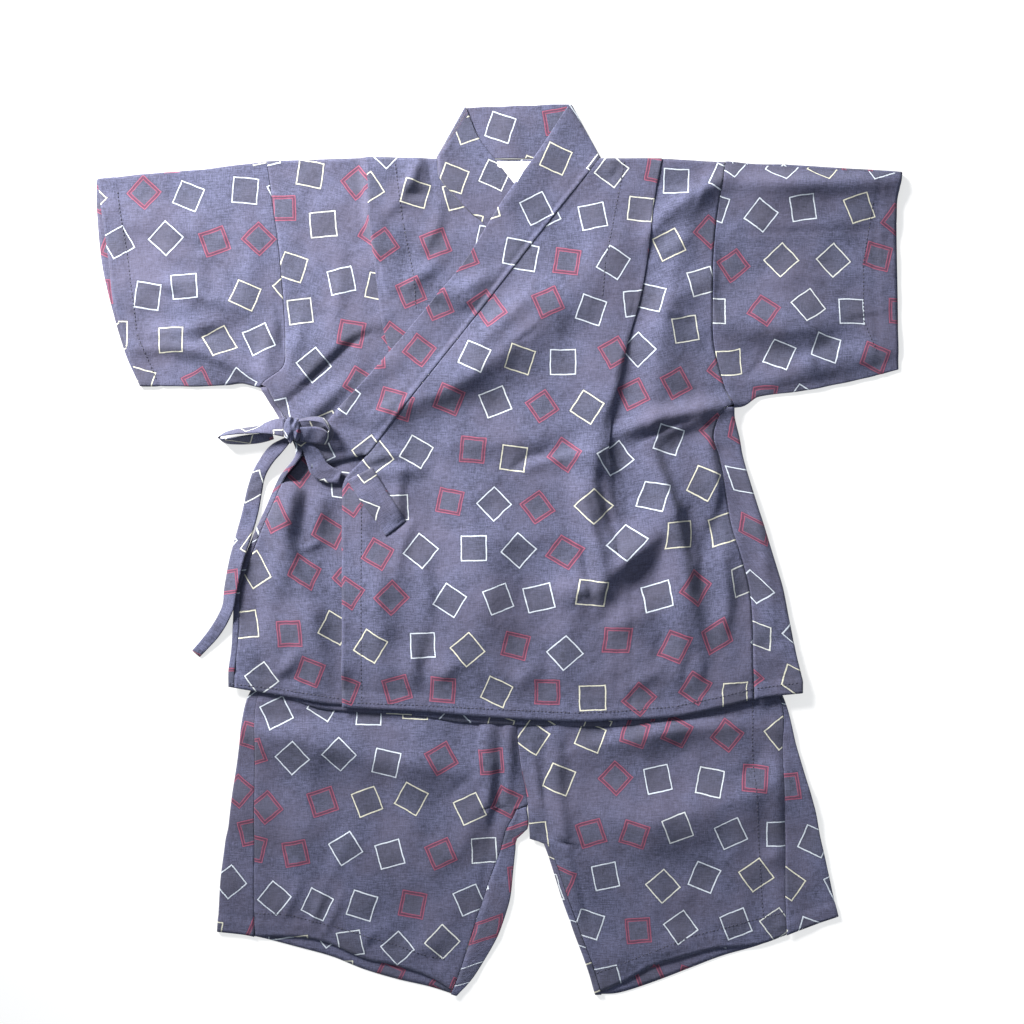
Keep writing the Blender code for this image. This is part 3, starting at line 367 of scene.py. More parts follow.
JACKET_CREASES = table(
    "height left right points",
    (8.7, 20.8, 12, ((-94.8, 108.8), (-72.4, 116.8), (-42, 128), (-13.2, 145.6), (7.6, 161.6))),
    (7.2, 20.8, 21.6, ((-16.4, 144.8), (17.2, 169.6), (49.2, 198.4), (81.2, 230.4), (98.8, 248))),
    (4.5, 9.6, 8, ((-22.8, 158.4), (1.2, 180.8), (25.2, 203.2))),
    (4.2, 8, 8, ((-64.4, 202.4), (-30.8, 206.4), (1.2, 225.6))),
    (3.9, 11.2, 5.6, ((-74.8, 210.4), (-54.8, 221.6), (-34, 236.8))),
    (2.1, 6.4, 4.8, ((-37.2, 195.2), (-18, 200))),
    (3.4, 22.4, 7.2, ((54, 345.6), (39.6, 324.8), (22.8, 302.4), (5.2, 276.8), (-11.6, 254.4))),
    (6.4, 25.6, 2.4, ((-107.6, 315.2), (-106, 288), (-102.8, 260), (-96.4, 230.4))),
    (2.4, 4.8, 19.2, ((103.6, 182.4), (95.6, 140.8), (87.6, 112))),
    (5.5, 7.2, 17.6, ((92.4, 132.8), (84.4, 108.8), (81.2, 88), (78.8, 65.6), (73.2, 49.6))),
    (3.9, 4.8, 6.4, ((-62.8, 313.6), (-69.2, 296), (-78, 281.6))),
    (-1.4, 3.2, 3.2, ((-77.2, 286.4), (-50, 285.6))),
    (1.5, 4.8, 4.8, ((-91.6, 267.2), (-80.4, 276.8), (-62.8, 277.6))),
    (2.4, 4.8, 6.4, ((-46.8, 280), (-48.4, 259.2), (-59.6, 240))),
    (-1.2, 3.2, 3.2, ((81.2, 299.2), (90.8, 298.4), (98.8, 308.8))),
    (-1, 4, 3.2, ((-56.4, 310.4), (-54, 291.2))),
    (7, 7.2, 8, ((119.6, 251.2), (132.4, 268), (153.2, 283.2), (183.6, 299.2))),
    (7.5, 9.6, 8, ((188.4, 295.2), (209.2, 294.4), (209.2, 293.6), (241.2, 292.8), (289.2, 294.4),
     (330.8, 296))),
    (5.7, 9.6, 32, ((175.6, 288.8), (209.2, 288), (257.2, 288), (313.2, 289.6))),
    (-1.1, 2.4, 2.4, ((190, 253.6), (233.2, 255.2), (285.2, 256), (313.2, 258.4))),
    (2.4, 6.4, 4, ((125.2, 230.4), (138.8, 241.6), (153.2, 251.2))),
    (8.1, 22.4, 12, ((154.8, 268.8), (145.2, 240), (137.2, 212), (130.8, 176), (127.6, 144),
     (122.8, 116.8))),
    (2.4, 4, 8, ((173.2, 244), (170.8, 200), (174.8, 182.4))),
    (7.5, 27.2, 11.2, ((167.6, 182.4), (197.2, 177.6), (221.2, 175.2), (247.6, 177.6),
     (274.8, 184))),
    (2.4, 17.6, 4.8, ((196.4, 133.6), (241.2, 138.4), (281.2, 147.2), (318, 157.6))),
    (-1.6, 2.4, 2.4, ((199.6, 137.6), (206, 145.6), (214, 158.4))),
    (2.1, 7.2, 7.2, ((246, 158.4), (250.8, 142.4))),
    (1.5, 8, 9.6, ((201.2, 216), (241.2, 219.2), (289.2, 217.6))),
    (3.9, 17.6, 5.6, ((-173.2, 121.6), (-144.4, 150.4), (-121.2, 171.2), (-98, 180))),
    (-1.8, 2.4, 2.4, ((-171.6, 116.8), (-157.2, 129.6), (-142.8, 143.2), (-126.8, 158.4),
     (-114, 168.8), (-101.2, 175.2))),
    (2.1, 8, 4, ((-147.6, 105.6), (-130.8, 120.8), (-118.8, 131.2))),
    (-3.6, 4, 3.2, ((-139.6, 103.2), (-131.6, 112), (-122, 122.4))),
    (-1.6, 2.4, 2.4, ((-91.6, 174.4), (-82, 176.8), (-71.6, 180.8))),
    (-1.6, 2.4, 2.4, ((-115.6, 99.2), (-101.2, 112), (-85.2, 124.8))),
    (-2.2, 3.2, 3.2, ((-139.6, 104), (-122.8, 97.6), (-101.2, 95.2))),
    (2.4, 11.2, 6.4, ((-191.6, 169.6), (-185.2, 145.6), (-178, 116.8))),
    (-1.6, 2.4, 2.4, ((-177.2, 203.2), (-174, 176), (-170.8, 147.2))),
    (2.1, 6.4, 6.4, ((-157.2, 200), (-160.4, 171.2), (-168.4, 142.4))),
    (1.8, 6.4, 6.4, ((-128.4, 243.2), (-126.8, 208), (-131.6, 179.2))),
    (-1, 6.4, 4.8, ((-150.8, 296), (-154, 256), (-155.6, 208))),
    (4.2, 11.2, 5.6, ((-282, 213.6), (-258, 210.4), (-234.8, 201.6), (-205.2, 193.6))),
    (3.6, 7.2, 5.6, ((-283.6, 173.6), (-256.4, 175.2), (-227.6, 181.6))),
    (2.4, 8, 4.8, ((-264.4, 213.6), (-242, 215.2), (-227.6, 211.2))),
    (-2, 4, 3.2, ((-250, 163.2), (-237.2, 168.8), (-226, 173.6))),
    (3.6, 8, 5.6, ((-291.6, 160), (-262.8, 162.4), (-238.8, 159.2), (-218, 150.4),
     (-200.4, 140.8))),
    (2.4, 4.8, 6.4, ((-242, 150.4), (-222.8, 139.2), (-210, 131.2))),
    (-1, 8, 6.4, ((-320.4, 290.4), (-286.8, 292))),
    (-1.2, 4.8, 4.8, ((-234, 230.4), (-227.6, 206.4))),
    (-1, 4, 4, ((-211.6, 251.2), (-219.6, 240))),
    (1.8, 8, 8, ((-278.8, 240), (-242, 230.4), (-227.6, 240))),
    (1.5, 9.6, 8, ((-206.8, 280), (-198.8, 248), (-203.6, 200))),
    (9, 15.2, 20.8, ((-159.6, 88), (-162, 67.2), (-166, 40), (-169.2, 14.4), (-166.8, -8))),
    (7, 12.8, 20.8, ((-169.2, 11.2), (-162, -17.6), (-152.4, -41.6), (-141.2, -68.8),
     (-131.6, -94.4), (-127.6, -120))),
    (-2, 4.8, 4.8, ((-151.6, 83.2), (-152.4, 54.4), (-157.2, 28.8), (-161.2, 8), (-155.6, -12.8),
     (-146, -36.8))),
    (4.5, 2.4, 14.4, ((-129.2, 49.6), (-129.2, 27.2), (-129.2, 8))),
    (2.1, 2.4, 2.4, ((-156.4, 0.8), (-142.8, 6.4), (-128.4, 7.2))),
    (-1.5, 4, 4, ((-195.6, -16), (-194, -48), (-189.2, -88))),
    (2.4, 4.8, 4.8, ((-178, -100.8), (-166.8, -91.2), (-158.8, -80))),
    (-1.4, 4, 4, ((-171.6, -112), (-162, -97.6))),
    (3, 4.8, 4, ((-106, 70.4), (-91.6, 76), (-77.2, 76.8))),
    (-1.6, 2.4, 2.4, ((-104.4, 65.6), (-86.8, 69.6), (-62.8, 69.6))),
    (3.6, 4.8, 8, ((-77.2, 64), (-80.4, 40), (-78.8, 22.4))),
    (-2.2, 4, 3.2, ((-88.4, 12.8), (-80.4, 19.2), (-70.8, 27.2))),
    (4.2, 14.4, 9.6, ((-90, 8), (-93.2, -24), (-94.8, -72), (-96.4, -124.8))),
    (2.7, 4, 6.4, ((-69.2, 24), (-77.2, 1.6), (-82, -19.2))),
    (-2.4, 5.6, 4.8, ((-55.6, -68.8), (-59.6, -94.4), (-54.8, -126.4))),
    (3, 6.4, 9.6, ((-67.6, -72), (-69.2, -112))),
    (3.3, 8, 4.8, ((-48.4, -104), (-34, -91.2), (-22.8, -91.2))),
    (2.7, 4, 11.2, ((-59.6, -8), (-54.8, -32), (-54.8, -56))),
    (7.5, 21.6, 32, ((-2, 35.2), (-5.2, -8), (-8.4, -56), (-10, -91.2))),
    (4.2, 8, 17.6, ((46, -30.4), (68.4, -32), (89.2, -33.6))),
    (3.6, 4, 7.2, ((63.6, 11.2), (65.2, -9.6), (70, -33.6))),
    (3.6, 17.6, 10.4, ((-22.8, 8), (14, 9.6), (54, 12.8))),
    (-1.7, 2.4, 3.2, ((11.6, 65.6), (23.6, 74.4), (38, 78.4))),
    (3.3, 3.2, 7.2, ((14.8, 59.2), (26.8, 68.8), (47.6, 73.6), (81.2, 80))),
    (3.6, 16, 9.6, ((-46.8, 83.2), (1.2, 84.8), (46, 92.8))),
    (2.1, 9.6, 9.6, ((-37.2, 40), (-22.8, 24), (-18, 1.6))),
    (-1.4, 6.4, 4.8, ((39.6, -80), (37.2, -112))),
    (2.4, 6.4, 6.4, ((14, -112), (25.2, -94.4))),
    (-1.6, 5.6, 4.8, ((50.8, -121.6), (71.6, -111.2), (82.8, -108.8))),
    (3.3, 6.4, 5.6, ((97.2, -118.4), (110, -107.2), (124.4, -99.2))),
    (-2, 4.8, 4, ((132.4, -67.2), (125.2, -88))),
    (-2.2, 4, 4, ((153.2, -81.6), (147.6, -108.8))),
    (9.6, 24, 8.8, ((76.4, -27.2), (94, -12.8), (111.6, 0.8), (129.2, 16))),
    (-2.2, 4, 4, ((81.2, 43.2), (90, 17.6), (98, 0.8))),
    (4.2, 4, 9.6, ((78, 83.2), (74.8, 54.4), (81.2, 30.4), (91.6, 5.6))),
    (7, 6.4, 6.4, ((63.6, 51.2), (73.2, 19.2), (81.2, -6.4), (82.8, -32))),
    (-3.4, 3.2, 9.6, ((66.8, 12.8), (70, -12.8), (74.8, -41.6))),
    (4.5, 5.6, 11.2, ((90.8, 80), (86, 51.2), (94, 24))),
    (4.9, 12.8, 16, ((79.6, -65.6), (98.8, -56), (124.4, -51.2))),
    (-1.6, 8, 6.4, ((82.8, -40), (90.8, -52.8), (81.2, -60.8))),
    (4.9, 6.4, 7.2, ((90.8, 90.4), (113.2, 100.8), (130.8, 108), (158, 112), (183.6, 116.8))),
    (-1.6, 2.4, 2.4, ((113.2, 87.2), (132.4, 98.4), (153.2, 104))),
    (3.3, 3.2, 5.6, ((118, 84.8), (137.2, 95.2), (161.2, 103.2))),
    (5.5, 4, 14.4, ((166, 96), (171.6, 72), (174.8, 46.4), (170.8, 25.6))),
    (4.5, 4.8, 11.2, ((123.6, 83.2), (130.8, 59.2), (140.4, 32), (147.6, 8))),
    (6.7, 8, 20.8, ((121.2, 78.4), (130.8, 51.2), (140.4, 24), (146.8, -1.6), (150.8, -33.6),
     (156.4, -57.6), (161.2, -83.2))),
    (-2, 6.4, 2.4, ((170.8, 24), (162.8, 3.2), (159.6, -32))),
    (-1.8, 4, 4, ((183.6, 30.4), (188.4, 3.2))),
    (2.7, 4.8, 6.4, ((178.8, -8), (183.6, -40), (178.8, -72))),
    (-1.2, 2.4, 2.4, ((207.6, -78.4), (225.2, -76), (241.2, -76.8))),
    (2.1, 6.4, 6.4, ((197.2, 64), (207.6, 24), (215.6, -24), (220.4, -64))),
)
SHORTS_CREASES = table(
    "height left right points",
    (9, 17.6, 17.6, ((-198.8, -146.4), (-158.8, -151.2), (-118.8, -159.2), (-78.8, -168.8),
     (-27.6, -176.8))),
    (3, 24, 9.6, ((-58, -259.2), (-34.8, -244), (-22.8, -224), (-16.4, -200))),
    (-1.6, 4.8, 4, ((-43.6, -200), (-29.2, -187.2), (-13.2, -174.4))),
    (-2.2, 2.4, 2.4, ((-17.2, -132.8), (-17.2, -152), (-18, -171.2))),
    (3.3, 3.2, 5.6, ((-6.8, -134.4), (-6.8, -176), (-10, -216))),
    (-3.2, 3.2, 3.2, ((2, -132.8), (1.2, -168), (-1.2, -201.6), (-6.8, -240), (-13.2, -281.6))),
    (3.3, 3.2, 4.8, ((8.4, -142.4), (9.2, -176), (6.8, -200))),
    (-2, 2, 2, ((15.3, -132.8), (15.6, -156), (16.4, -172), (19.6, -184), (22.8, -200))),
    (2.7, 3.2, 2.4, ((25.2, -152), (30, -184), (37.2, -216))),
    (-2.4, 3.2, 3.2, ((37.2, -134.4), (37.2, -176), (36.4, -200), (39.6, -228.8))),
    (2.7, 4.8, 5.6, ((46.8, -139.2), (48.4, -184), (50.8, -216), (58.8, -249.6), (66, -283.2))),
    (-2, 3.2, 3.2, ((55.6, -228.8), (63.6, -264), (74.8, -305.6))),
    (-1.6, 2.4, 2.4, ((15.6, -201.6), (16.4, -224))),
    (-1.6, 2.4, 2.4, ((18.8, -195.2), (23.6, -204.8))),
    (2.1, 3.2, 3.2, ((-171.6, -294.4), (-158.8, -265.6))),
    (2.1, 3.2, 3.2, ((-150.8, -300.8), (-138.8, -272))),
    (2.1, 3.2, 3.2, ((-140.4, -308.8), (-124.4, -273.6))),
    (1.8, 6.4, 6.4, ((-134.8, -264), (-122, -232))),
    (2.4, 6.4, 4.8, ((-114, -321.6), (-101.2, -307.2), (-91.6, -304))),
    (1.8, 8, 5.6, ((-77.2, -329.6), (-58.8, -318.4), (-45.2, -308.8))),
    (-1.6, 3.2, 4, ((-43.6, -320), (-50, -337.6))),
    (6.7, 6.4, 13.6, ((65.2, -158.4), (113.2, -149.6), (153.2, -138.4), (202.8, -128.8))),
    (10.2, 20.8, 28.8, ((65.2, -208), (113.2, -220.8), (145.2, -212.8), (180.4, -204.8),
     (226.8, -195.2))),
    (-2, 4.8, 5.6, ((214, -155.2), (206.8, -171.2), (188.4, -184))),
    (2.4, 8, 6.4, ((178.8, -200), (209.2, -192), (223.6, -180.8))),
    (-1, 2.4, 2.4, ((226.8, -132.8), (228.4, -192), (230.8, -257.6))),
    (2.4, 6.4, 8, ((212.4, -249.6), (225.2, -241.6))),
    (1.8, 8, 8, ((153.2, -264), (150, -284.8))),
    (-1.2, 6.4, 6.4, ((214, -273.6), (209.2, -289.6))),
    (1.8, 9.6, 9.6, ((246, -144), (257.2, -200), (262, -256))),
    (1.8, 8, 6.4, ((113.2, -328), (153.2, -315.2), (166, -307.2))),
    (-1.4, 4, 4, ((90.8, -347.2), (113.2, -334.4), (129.2, -328))),
)
JACKET_STITCHES = (
    ((-109.6, 49.6), (-109.6, -8), (-109.6, -72), (-109.2, -123.2)),
    ((-82.8, 309.6), (-76.4, 261.6), (-67.6, 217.6), (-66, 190.4)),
    ((101.2, 312), (90.8, 257.6), (85.2, 230.4), (82.8, 200)),
    ((-122.8, -121.6), (-62.8, -124), (-1.2, -127.2), (59.6, -130), (97.2, -128.8),
     (142, -124.8), (175.6, -117.6), (205.2, -110.4), (241.2, -105.6)),
    ((-216.4, -106.4), (-170, -112), (-125.2, -119.2)),
)
SLEEVE_STITCHES = (
    ((-306, 288), (-296.4, 225.6), (-290, 173.6), (-274, 135.2)),
    ((299.6, 278.4), (292.4, 228.8), (292.4, 184.8), (303.6, 156)),
)
SHORTS_STITCHES = (
    ((-223.6, -291.2), (-171.6, -292), (-133.2, -301.6), (-90, -314.4), (-54.8, -326.4),
     (-41.2, -328.8)),
    ((78, -340), (97.2, -332.8), (125.2, -321.6), (153.2, -310.4), (193.2, -300),
     (233.2, -289.6), (270, -276.8)),
    ((203.6, -118.4), (203.6, -163.2), (206, -200), (209.2, -248), (212.4, -294.4)),
)

# ---------------------------------------------------------------- heights of the cloth


def near(away, reach):
    """1 on a line, falling evenly to almost 0 at twice its reach."""
    return np.exp(-((away / reach) ** 2))


def ridge(fold, x, y):
    """Height that one broad fold adds at points."""
    along_x, along_y = fold.x1 - fold.x0, fold.y1 - fold.y0
    share = ((x - fold.x0) * along_x + (y - fold.y0) * along_y) / (along_x**2 + along_y**2)
    nearest = np.clip(share, 0.0, 1.0)
    away = np.hypot(x - fold.x0 - nearest * along_x, y - fold.y0 - nearest * along_y)
    crest = 0.35 + 0.65 * np.sin(math.pi * (0.15 + 0.7 * nearest))
    return fold.height * crest * near(away, fold.width)


def fold_height(folds, x, y):
    """Height of the highest broad fold at points."""
    return np.max([ridge(fold, x, y) for fold in folds], axis=0)


def crease(row, x, y):
    """Height of one fine crease: a line that falls off by its own reach on either side of it."""
    lengths = [math.dist(a, b) for a, b in zip(row.points, row.points[1:])]
    nearest = np.full(np.shape(x), 1e9)
    side, share = np.zeros(np.shape(x)), np.zeros(np.shape(x))
    passed = 0.0
    for (ax, ay), (bx, by), length in zip(row.points, row.points[1:], lengths):
        dx, dy = (bx - ax) / length, (by - ay) / length
        along = np.clip((x - ax) * dx + (y - ay) * dy, 0.0, length)
        away = np.hypot(x - ax - along * dx, y - ay - along * dy)
        closer = away < nearest
        nearest = np.where(closer, away, nearest)
        side = np.where(closer, dx * (y - ay) - dy * (x - ax), side)
        share = np.where(closer, (passed + along) / sum(lengths), share)
        passed += length
    reach = np.where(side > 0, row.left, row.right)
    swell = np.sin(math.pi * (0.08 + 0.84 * share)) ** 0.7
    return row.height * swell * np.exp(-((nearest / reach) ** 1.7))


def creases(rows, x, y):
    """Height of all the fine creases together."""
    return sum(crease(row, x, y) for row in rows)


def crumple(x, y, seed, count=14, longest=70.0, shortest=16.0):
    """Height of washed cotton's soft unevenness: waves of many lengths in all directions."""
    chance = np.random.default_rng(seed)
    total = np.zeros(np.shape(x))
    for wave in np.geomspace(longest, shortest, count):
        turn, start = chance.uniform(0, math.pi), chance.uniform(0, 2 * math.pi)
        across = x * math.cos(turn) + y * math.sin(turn)
        along = y * math.cos(turn) - x * math.sin(turn)
        bent = across + 0.18 * wave * np.sin(along / wave + start)
        total += wave / longest * np.sin(2 * math.pi * bent / wave + start)
    return scene_settings().crumple / MM * (total / math.sqrt(count))


def ground(x, y):
    """Rise of the jacket where it lies over the shorts."""
    right, left = read(RIGHT_LEG, "outline", y), read(LEFT_LEG, "outline", y)
    drops, flat = BESIDE_SHORTS
    across = smooth(right - drops, right - flat, x) * smooth(left + drops, left + flat, x)
    return UNDER_HEM_RISE * smooth(*OVER_SHORTS, y) * across


def over_level(x, y):
    """Middle of the left front: it steps down past the collar of the right front below it."""
    seam_x, seam_y, across, up = 13, 294, 0.774, 0.633
    past_seam = across * (x - seam_x) + up * (y - seam_y)
    starts_down, is_down = 14, 44
    return SECOND_LAYER + LAYER * smooth(is_down, starts_down, past_seam)


def at_hem(y):
    """0 in the jacket's body, 1 at its hem, where the layers lie closer."""
    return smooth(-92, -120, y)


def above_cloth_below(height):
    """A height that eases out before it would meet the layer of cloth below."""
    free, last = 0.4, 0.9  # how far it dips freely, and the most that it dips beyond that
    eased = -free - last * (1 - np.exp(np.minimum(0, height + free)))
    return np.where(height > -free, height, eased)


def jacket_relief(x, y):
    """Folds, creases and unevenness of the jacket's top, quieter at the hem."""
    hold = smooth(*JACKET_FOLDS_END, y)
    fine = creases(JACKET_CREASES, x, y) + crumple(x, y, seed=3)
    folds = fold_height(JACKET_FOLDS, x, y) * hold * scene_settings().broad_folds
    return above_cloth_below(folds + fine * (0.3 + 0.7 * hold))


def over_height(x, y):
    """Middle of the left front and of the collar beside it, with its folds."""
    return over_level(x, y) + jacket_relief(x, y) + ridge(OVER_TUCK[0], x, y)


def shorts_relief(x, y):
    """Folds, creases and unevenness of the shorts' front, from the jacket's hem down."""
    fine = creases(SHORTS_CREASES, x, y) + crumple(x, y, seed=8)
    folds = fold_height(SHORTS_FOLDS, x, y) * scene_settings().broad_folds
    raised = 1.1 * smooth(-108, -120, y) * smooth(-166, -140, y)  # below the jacket's hem
    return above_cloth_below(folds + fine) * smooth(*SHORTS_FOLDS_START, y) + raised


def hem_band(x, y, hem):
    """A turned hem: thicker cloth, and short puckers along its row of stitches."""
    width = scene_settings().hem / MM
    above_stitches = y - read(hem, "y", x) - width
    turned = 0.6 * smooth(1.5, -1.5, above_stitches)
    puckers = near(above_stitches, 4.0) * np.sin(x / 1.6 + 1.7 * np.sin(x / 5.3))
    pulled_in = -0.7 * near(above_stitches, 1.7)
    return turned + 0.34 * puckers + pulled_in


def on_upper(height):
    """1 on the upper layer of a piece that lies double, 0 on its lower one."""
    return smooth(FLOOR_LAYER + 0.2, SECOND_LAYER, height)


# ---------------------------------------------------------------- making cloth


def scene_settings():
    """The sizes and colours that a user may change."""
    return bpy.context.scene.jinbei


def in_scene(name, data):
    """A new object of the scene, at the origin."""
    made = bpy.data.objects.new(name, data)
    bpy.context.scene.collection.objects.link(made)
    return made


def mesh_object(name, form, material):
    """An object with a material from a finished bmesh, which is used up."""
    mesh = bpy.data.meshes.new(name)
    form.to_mesh(mesh)
    form.free()
    mesh.shade_smooth()
    mesh.materials.append(material)
    return in_scene(name, mesh)


def piece_of(name, form, material, nodes=None):
    """A finished piece, in the place of the solids that it stands for."""
    piece = mesh_object(name, form, material)
    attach(piece, "root")
    if nodes:
        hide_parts(*nodes)
    return piece


def give_wall(piece, thickness):
    """Gives a sheet its thickness, half of it to either side."""
    wall = piece.modifiers.new("Wall", "SOLIDIFY")
    wall.thickness, wall.offset = thickness, 0.0
    return wall


def cloth(node, x, y, z, u, v, wall=None, closed=False, leave_out=None):
    """One wall of cloth: a grid bent to rows of points, u and v being its place on the bolt."""
    from_u, from_v = BOLT_PLACES.get(node, (0, 0))
    u, v = u + from_u, v + from_v
    rows, columns = x.shape
    sheet = bmesh.new()
    bmesh.ops.create_grid(sheet, x_segments=columns - 1, y_segments=rows - 1, size=0.5)
    bolt = sheet.loops.layers.uv.new("Cloth")
    places = np.stack([x, y, z], axis=-1).reshape(-1, 3) * MM
    on_bolt = np.stack([u, v], axis=-1).reshape(-1, 2) * MM
    for vert, place in zip(sheet.verts, places):
        vert.co = place
    cut = []
    for face in sheet.faces:
        corners = [divmod(loop.vert.index, columns) for loop in face.loops]
        for loop in face.loops:
            loop[bolt].uv = on_bolt[loop.vert.index]
        if leave_out and leave_out(min(r for r, c in corners), min(c for r, c in corners)):
            cut.append(face)
    bmesh.ops.delete(sheet, geom=cut, context="FACES")
    if closed:
        bmesh.ops.remove_doubles(sheet, verts=sheet.verts, dist=MERGE)
    piece = piece_of(node + "_cloth", sheet, cotton(), nodes=[node])
    thickness = give_wall(piece, wall * MM if wall else scene_settings().wall)
    thickness.use_even_offset = True
    thickness.thickness_clamp = 1.0
    return piece


def walked(steps):
    """The way walked up to each point of each row, from the steps between them."""
    return np.concatenate([np.zeros((len(steps), 1)), np.cumsum(steps, axis=1)], axis=1)


def unrolled(across, height, sign=1.0):
    """Place on the bolt along each row: the way walked over the cloth, folds included."""
    steps = np.hypot(np.diff(across, axis=1), np.diff(height, axis=1))
    return across[:, :1] + sign * walked(steps)


def slack(across, height):
    """How much longer the way over the folds is than the way across, along each row."""
    run = np.diff(across, axis=1)
    return walked(np.hypot(run, np.diff(height, axis=1)) - np.abs(run))


def laid_out(rows, places):
    """Rows of (across, height) points at their places: grids of x, y and height."""
    x, height = np.moveaxis(np.array(rows), 2, 0)
    return x, np.repeat(places[:, None], x.shape[1], axis=1), height


class Path:
    """A cut across the cloth, walked from one end: (across, height) points."""

    def __init__(self, across, height, heading):
        self.across, self.height, self.heading = across, height, heading
        self.points = [(across, height)]

    def run(self, length, steps):
        """Go straight on."""
        start, base = self.across, self.height
        for k in range(1, steps + 1):
            self.across = start + length * k / steps * math.cos(self.heading)
            self.height = base + length * k / steps * math.sin(self.heading)
            self.points.append((self.across, self.height))

    def bend(self, radius, angle, steps=BEND_STEPS):
        """Turn by an angle, up or, if it is negative, down, around a radius."""
        side = math.copysign(1.0, angle)
        center_x = self.across - side * radius * math.sin(self.heading)
        center_z = self.height + side * radius * math.cos(self.heading)
        start = self.heading
        for k in range(1, steps + 1):
            self.heading = start + angle * k / steps
            self.across = center_x + side * radius * math.sin(self.heading)
            self.height = center_z - side * radius * math.cos(self.heading)
            self.points.append((self.across, self.height))


# ---------------------------------------------------------------- the jacket

BODY_ROWS = np.linspace(313.0, HEM_ROW, 166)


def body_y(x, y, hem):
    """A row's own y at places across: it follows the shoulder at the top and the hem below."""
    near_top = smooth(BELOW_SHOULDER, BODY_ROWS[0], y)
    share = np.maximum(0.0, (ABOVE_HEM - y) / (ABOVE_HEM - HEM_ROW)) ** 2
    shoulder = near_top * (read(SHOULDER, "y", x) - BODY_ROWS[0] - SEAM)
    return y + shoulder + share * (read(hem, "y", x) - HEM_ROW)


def jacket_back():
    """The back, which turns forward around both sides below the armpits."""
    right_panel, across, left_panel = 3, 110, 14
    rows = []
    for y in BODY_ROWS:
        right, left = read(RIGHT_SIDE, "outline", y), read(LEFT_SIDE, "outline", y)
        right_seam, left_seam = read(RIGHT_SIDE, "seam", y), read(LEFT_SIDE, "seam", y)
        right_bend = LAYER / 2 if y <= RIGHT_ARMPIT else 0.0
        left_bend = (over_level(left_seam, y) - FLOOR_LAYER) / 2 if y <= LEFT_ARMPIT else 0.0
        path = Path(right_seam - SEAM, FLOOR_LAYER + 2 * right_bend, math.pi)
        path.run(right_seam - SEAM - right - right_bend, right_panel)
        path.bend(right_bend, math.pi)
        path.run(left - left_bend - path.across, across)
        path.bend(left_bend, math.pi)
        path.run(path.across - left_seam - SEAM, left_panel)
        rows.append(path.points)
    x, y, height = laid_out(rows, BODY_ROWS)
    own_y = body_y(x, y, BACK_HEM)
    relief = jacket_relief(x, y) + hem_band(x, own_y, LEFT_HEM)
    z = height + ground(x, y) + on_upper(height) * relief
    first_across = right_panel + BEND_STEPS
    first_left = first_across + across

    def above_armpit(r, c):
        y = BODY_ROWS[r + 1]
        return (c < first_across and y > RIGHT_ARMPIT) or (c >= first_left and y > LEFT_ARMPIT)

    piece = cloth("jacket_back", x, own_y, z, unrolled(x, height), own_y,
                  leave_out=above_armpit)
    return piece


def front_path(y, front, side, opens, way, steps):
    """A cut across a front from its edge to its side: over the tuck and down to the shoulder."""
    edge = way * read(front, "edge", y) + SEAM / 2
    stitch, fold = way * read(front, "stitch", y), way * read(front, "fold", y)
    armpit = LEFT_ARMPIT if way > 0 else RIGHT_ARMPIT
    seam = way * read(side, "outline" if y > armpit else "seam", y) - SEAM / 2
    angle = max(LEAST_ANGLE, 1 - smooth(*opens, y)) * math.pi
    radius = max(TUCK_RADIUS, LEAST_BEND / angle)
    folded = max(fold - stitch, LEAST_FOLDED)
    rise = 2 * radius * (1 - math.cos(angle)) + folded * math.sin(angle)
    path = Path(edge, rise, 0.0)
    path.run(fold - radius * math.sin(min(angle, math.pi / 2)) - edge, steps[0])
    path.bend(radius, -angle)
    path.run(folded, FOLDED_STEPS)
    path.bend(radius, angle)
    path.run(seam - path.across, steps[1])
    across = np.array([point[0] for point in path.points])
    ramp = smooth(stitch - TUCK_RAMP[0], stitch - TUCK_RAMP[1], across)
    return [(way * a, h * (r if k <= steps[0] else 1)) for k, ((a, h), r) in
            enumerate(zip(path.points, ramp))]


def front_grid(front, side, hem, opens, way, steps, apex):
    """Points of a front, its own height over the tuck, and its place on the bolt."""
    rows = [front_path(y, front, side, opens, way, steps) for y in BODY_ROWS]
    x, y, height = laid_out(rows, BODY_ROWS)
    own_y = body_y(x, y, hem)
    # past the tuck's fold the print is turned; where the tuck lies open it turns little by little
    column = np.arange(x.shape[1])[None, :]
    tuck_middle = steps[0] + BEND_STEPS + FOLDED_STEPS / 2
    folded = smooth(tuck_middle - 4, tuck_middle + 4, column) + 0 * y
    spread = smooth(apex[0] - way * 70, apex[0] + way * 60, x)
    closed = smooth(opens[1] - 20, opens[0] + 10, y)
    turned = (folded * closed + spread * (1 - closed)) * smooth(apex[1] - 230, apex[1] + 10, y)
    turn = -way * TUCK_TURN * turned
    dx, dy = x - apex[0], own_y - apex[1]
    u = apex[0] + dx * np.cos(turn) - dy * np.sin(turn)
    v = apex[1] + dx * np.sin(turn) + dy * np.cos(turn)
    return x, y, own_y, height, u, v


def jacket_front_left():
    """The front that lies on top: collar seam, shoulder tuck, armhole and side seam."""
    x, y, own_y, height, u, v = front_grid(
        LEFT_FRONT, LEFT_SIDE, LEFT_HEM, LEFT_TUCK_OPENS, 1, (84, 40), (88, 95))
    relief = over_height(x, own_y) + hem_band(x, own_y, LEFT_HEM) - 1.5 * at_hem(own_y)
    u = u + TAKEN_UP * slack(x, relief)
    z = height + relief + ground(x, y)
    piece = cloth("jacket_front_left", x, own_y, z, u, v)
    return piece


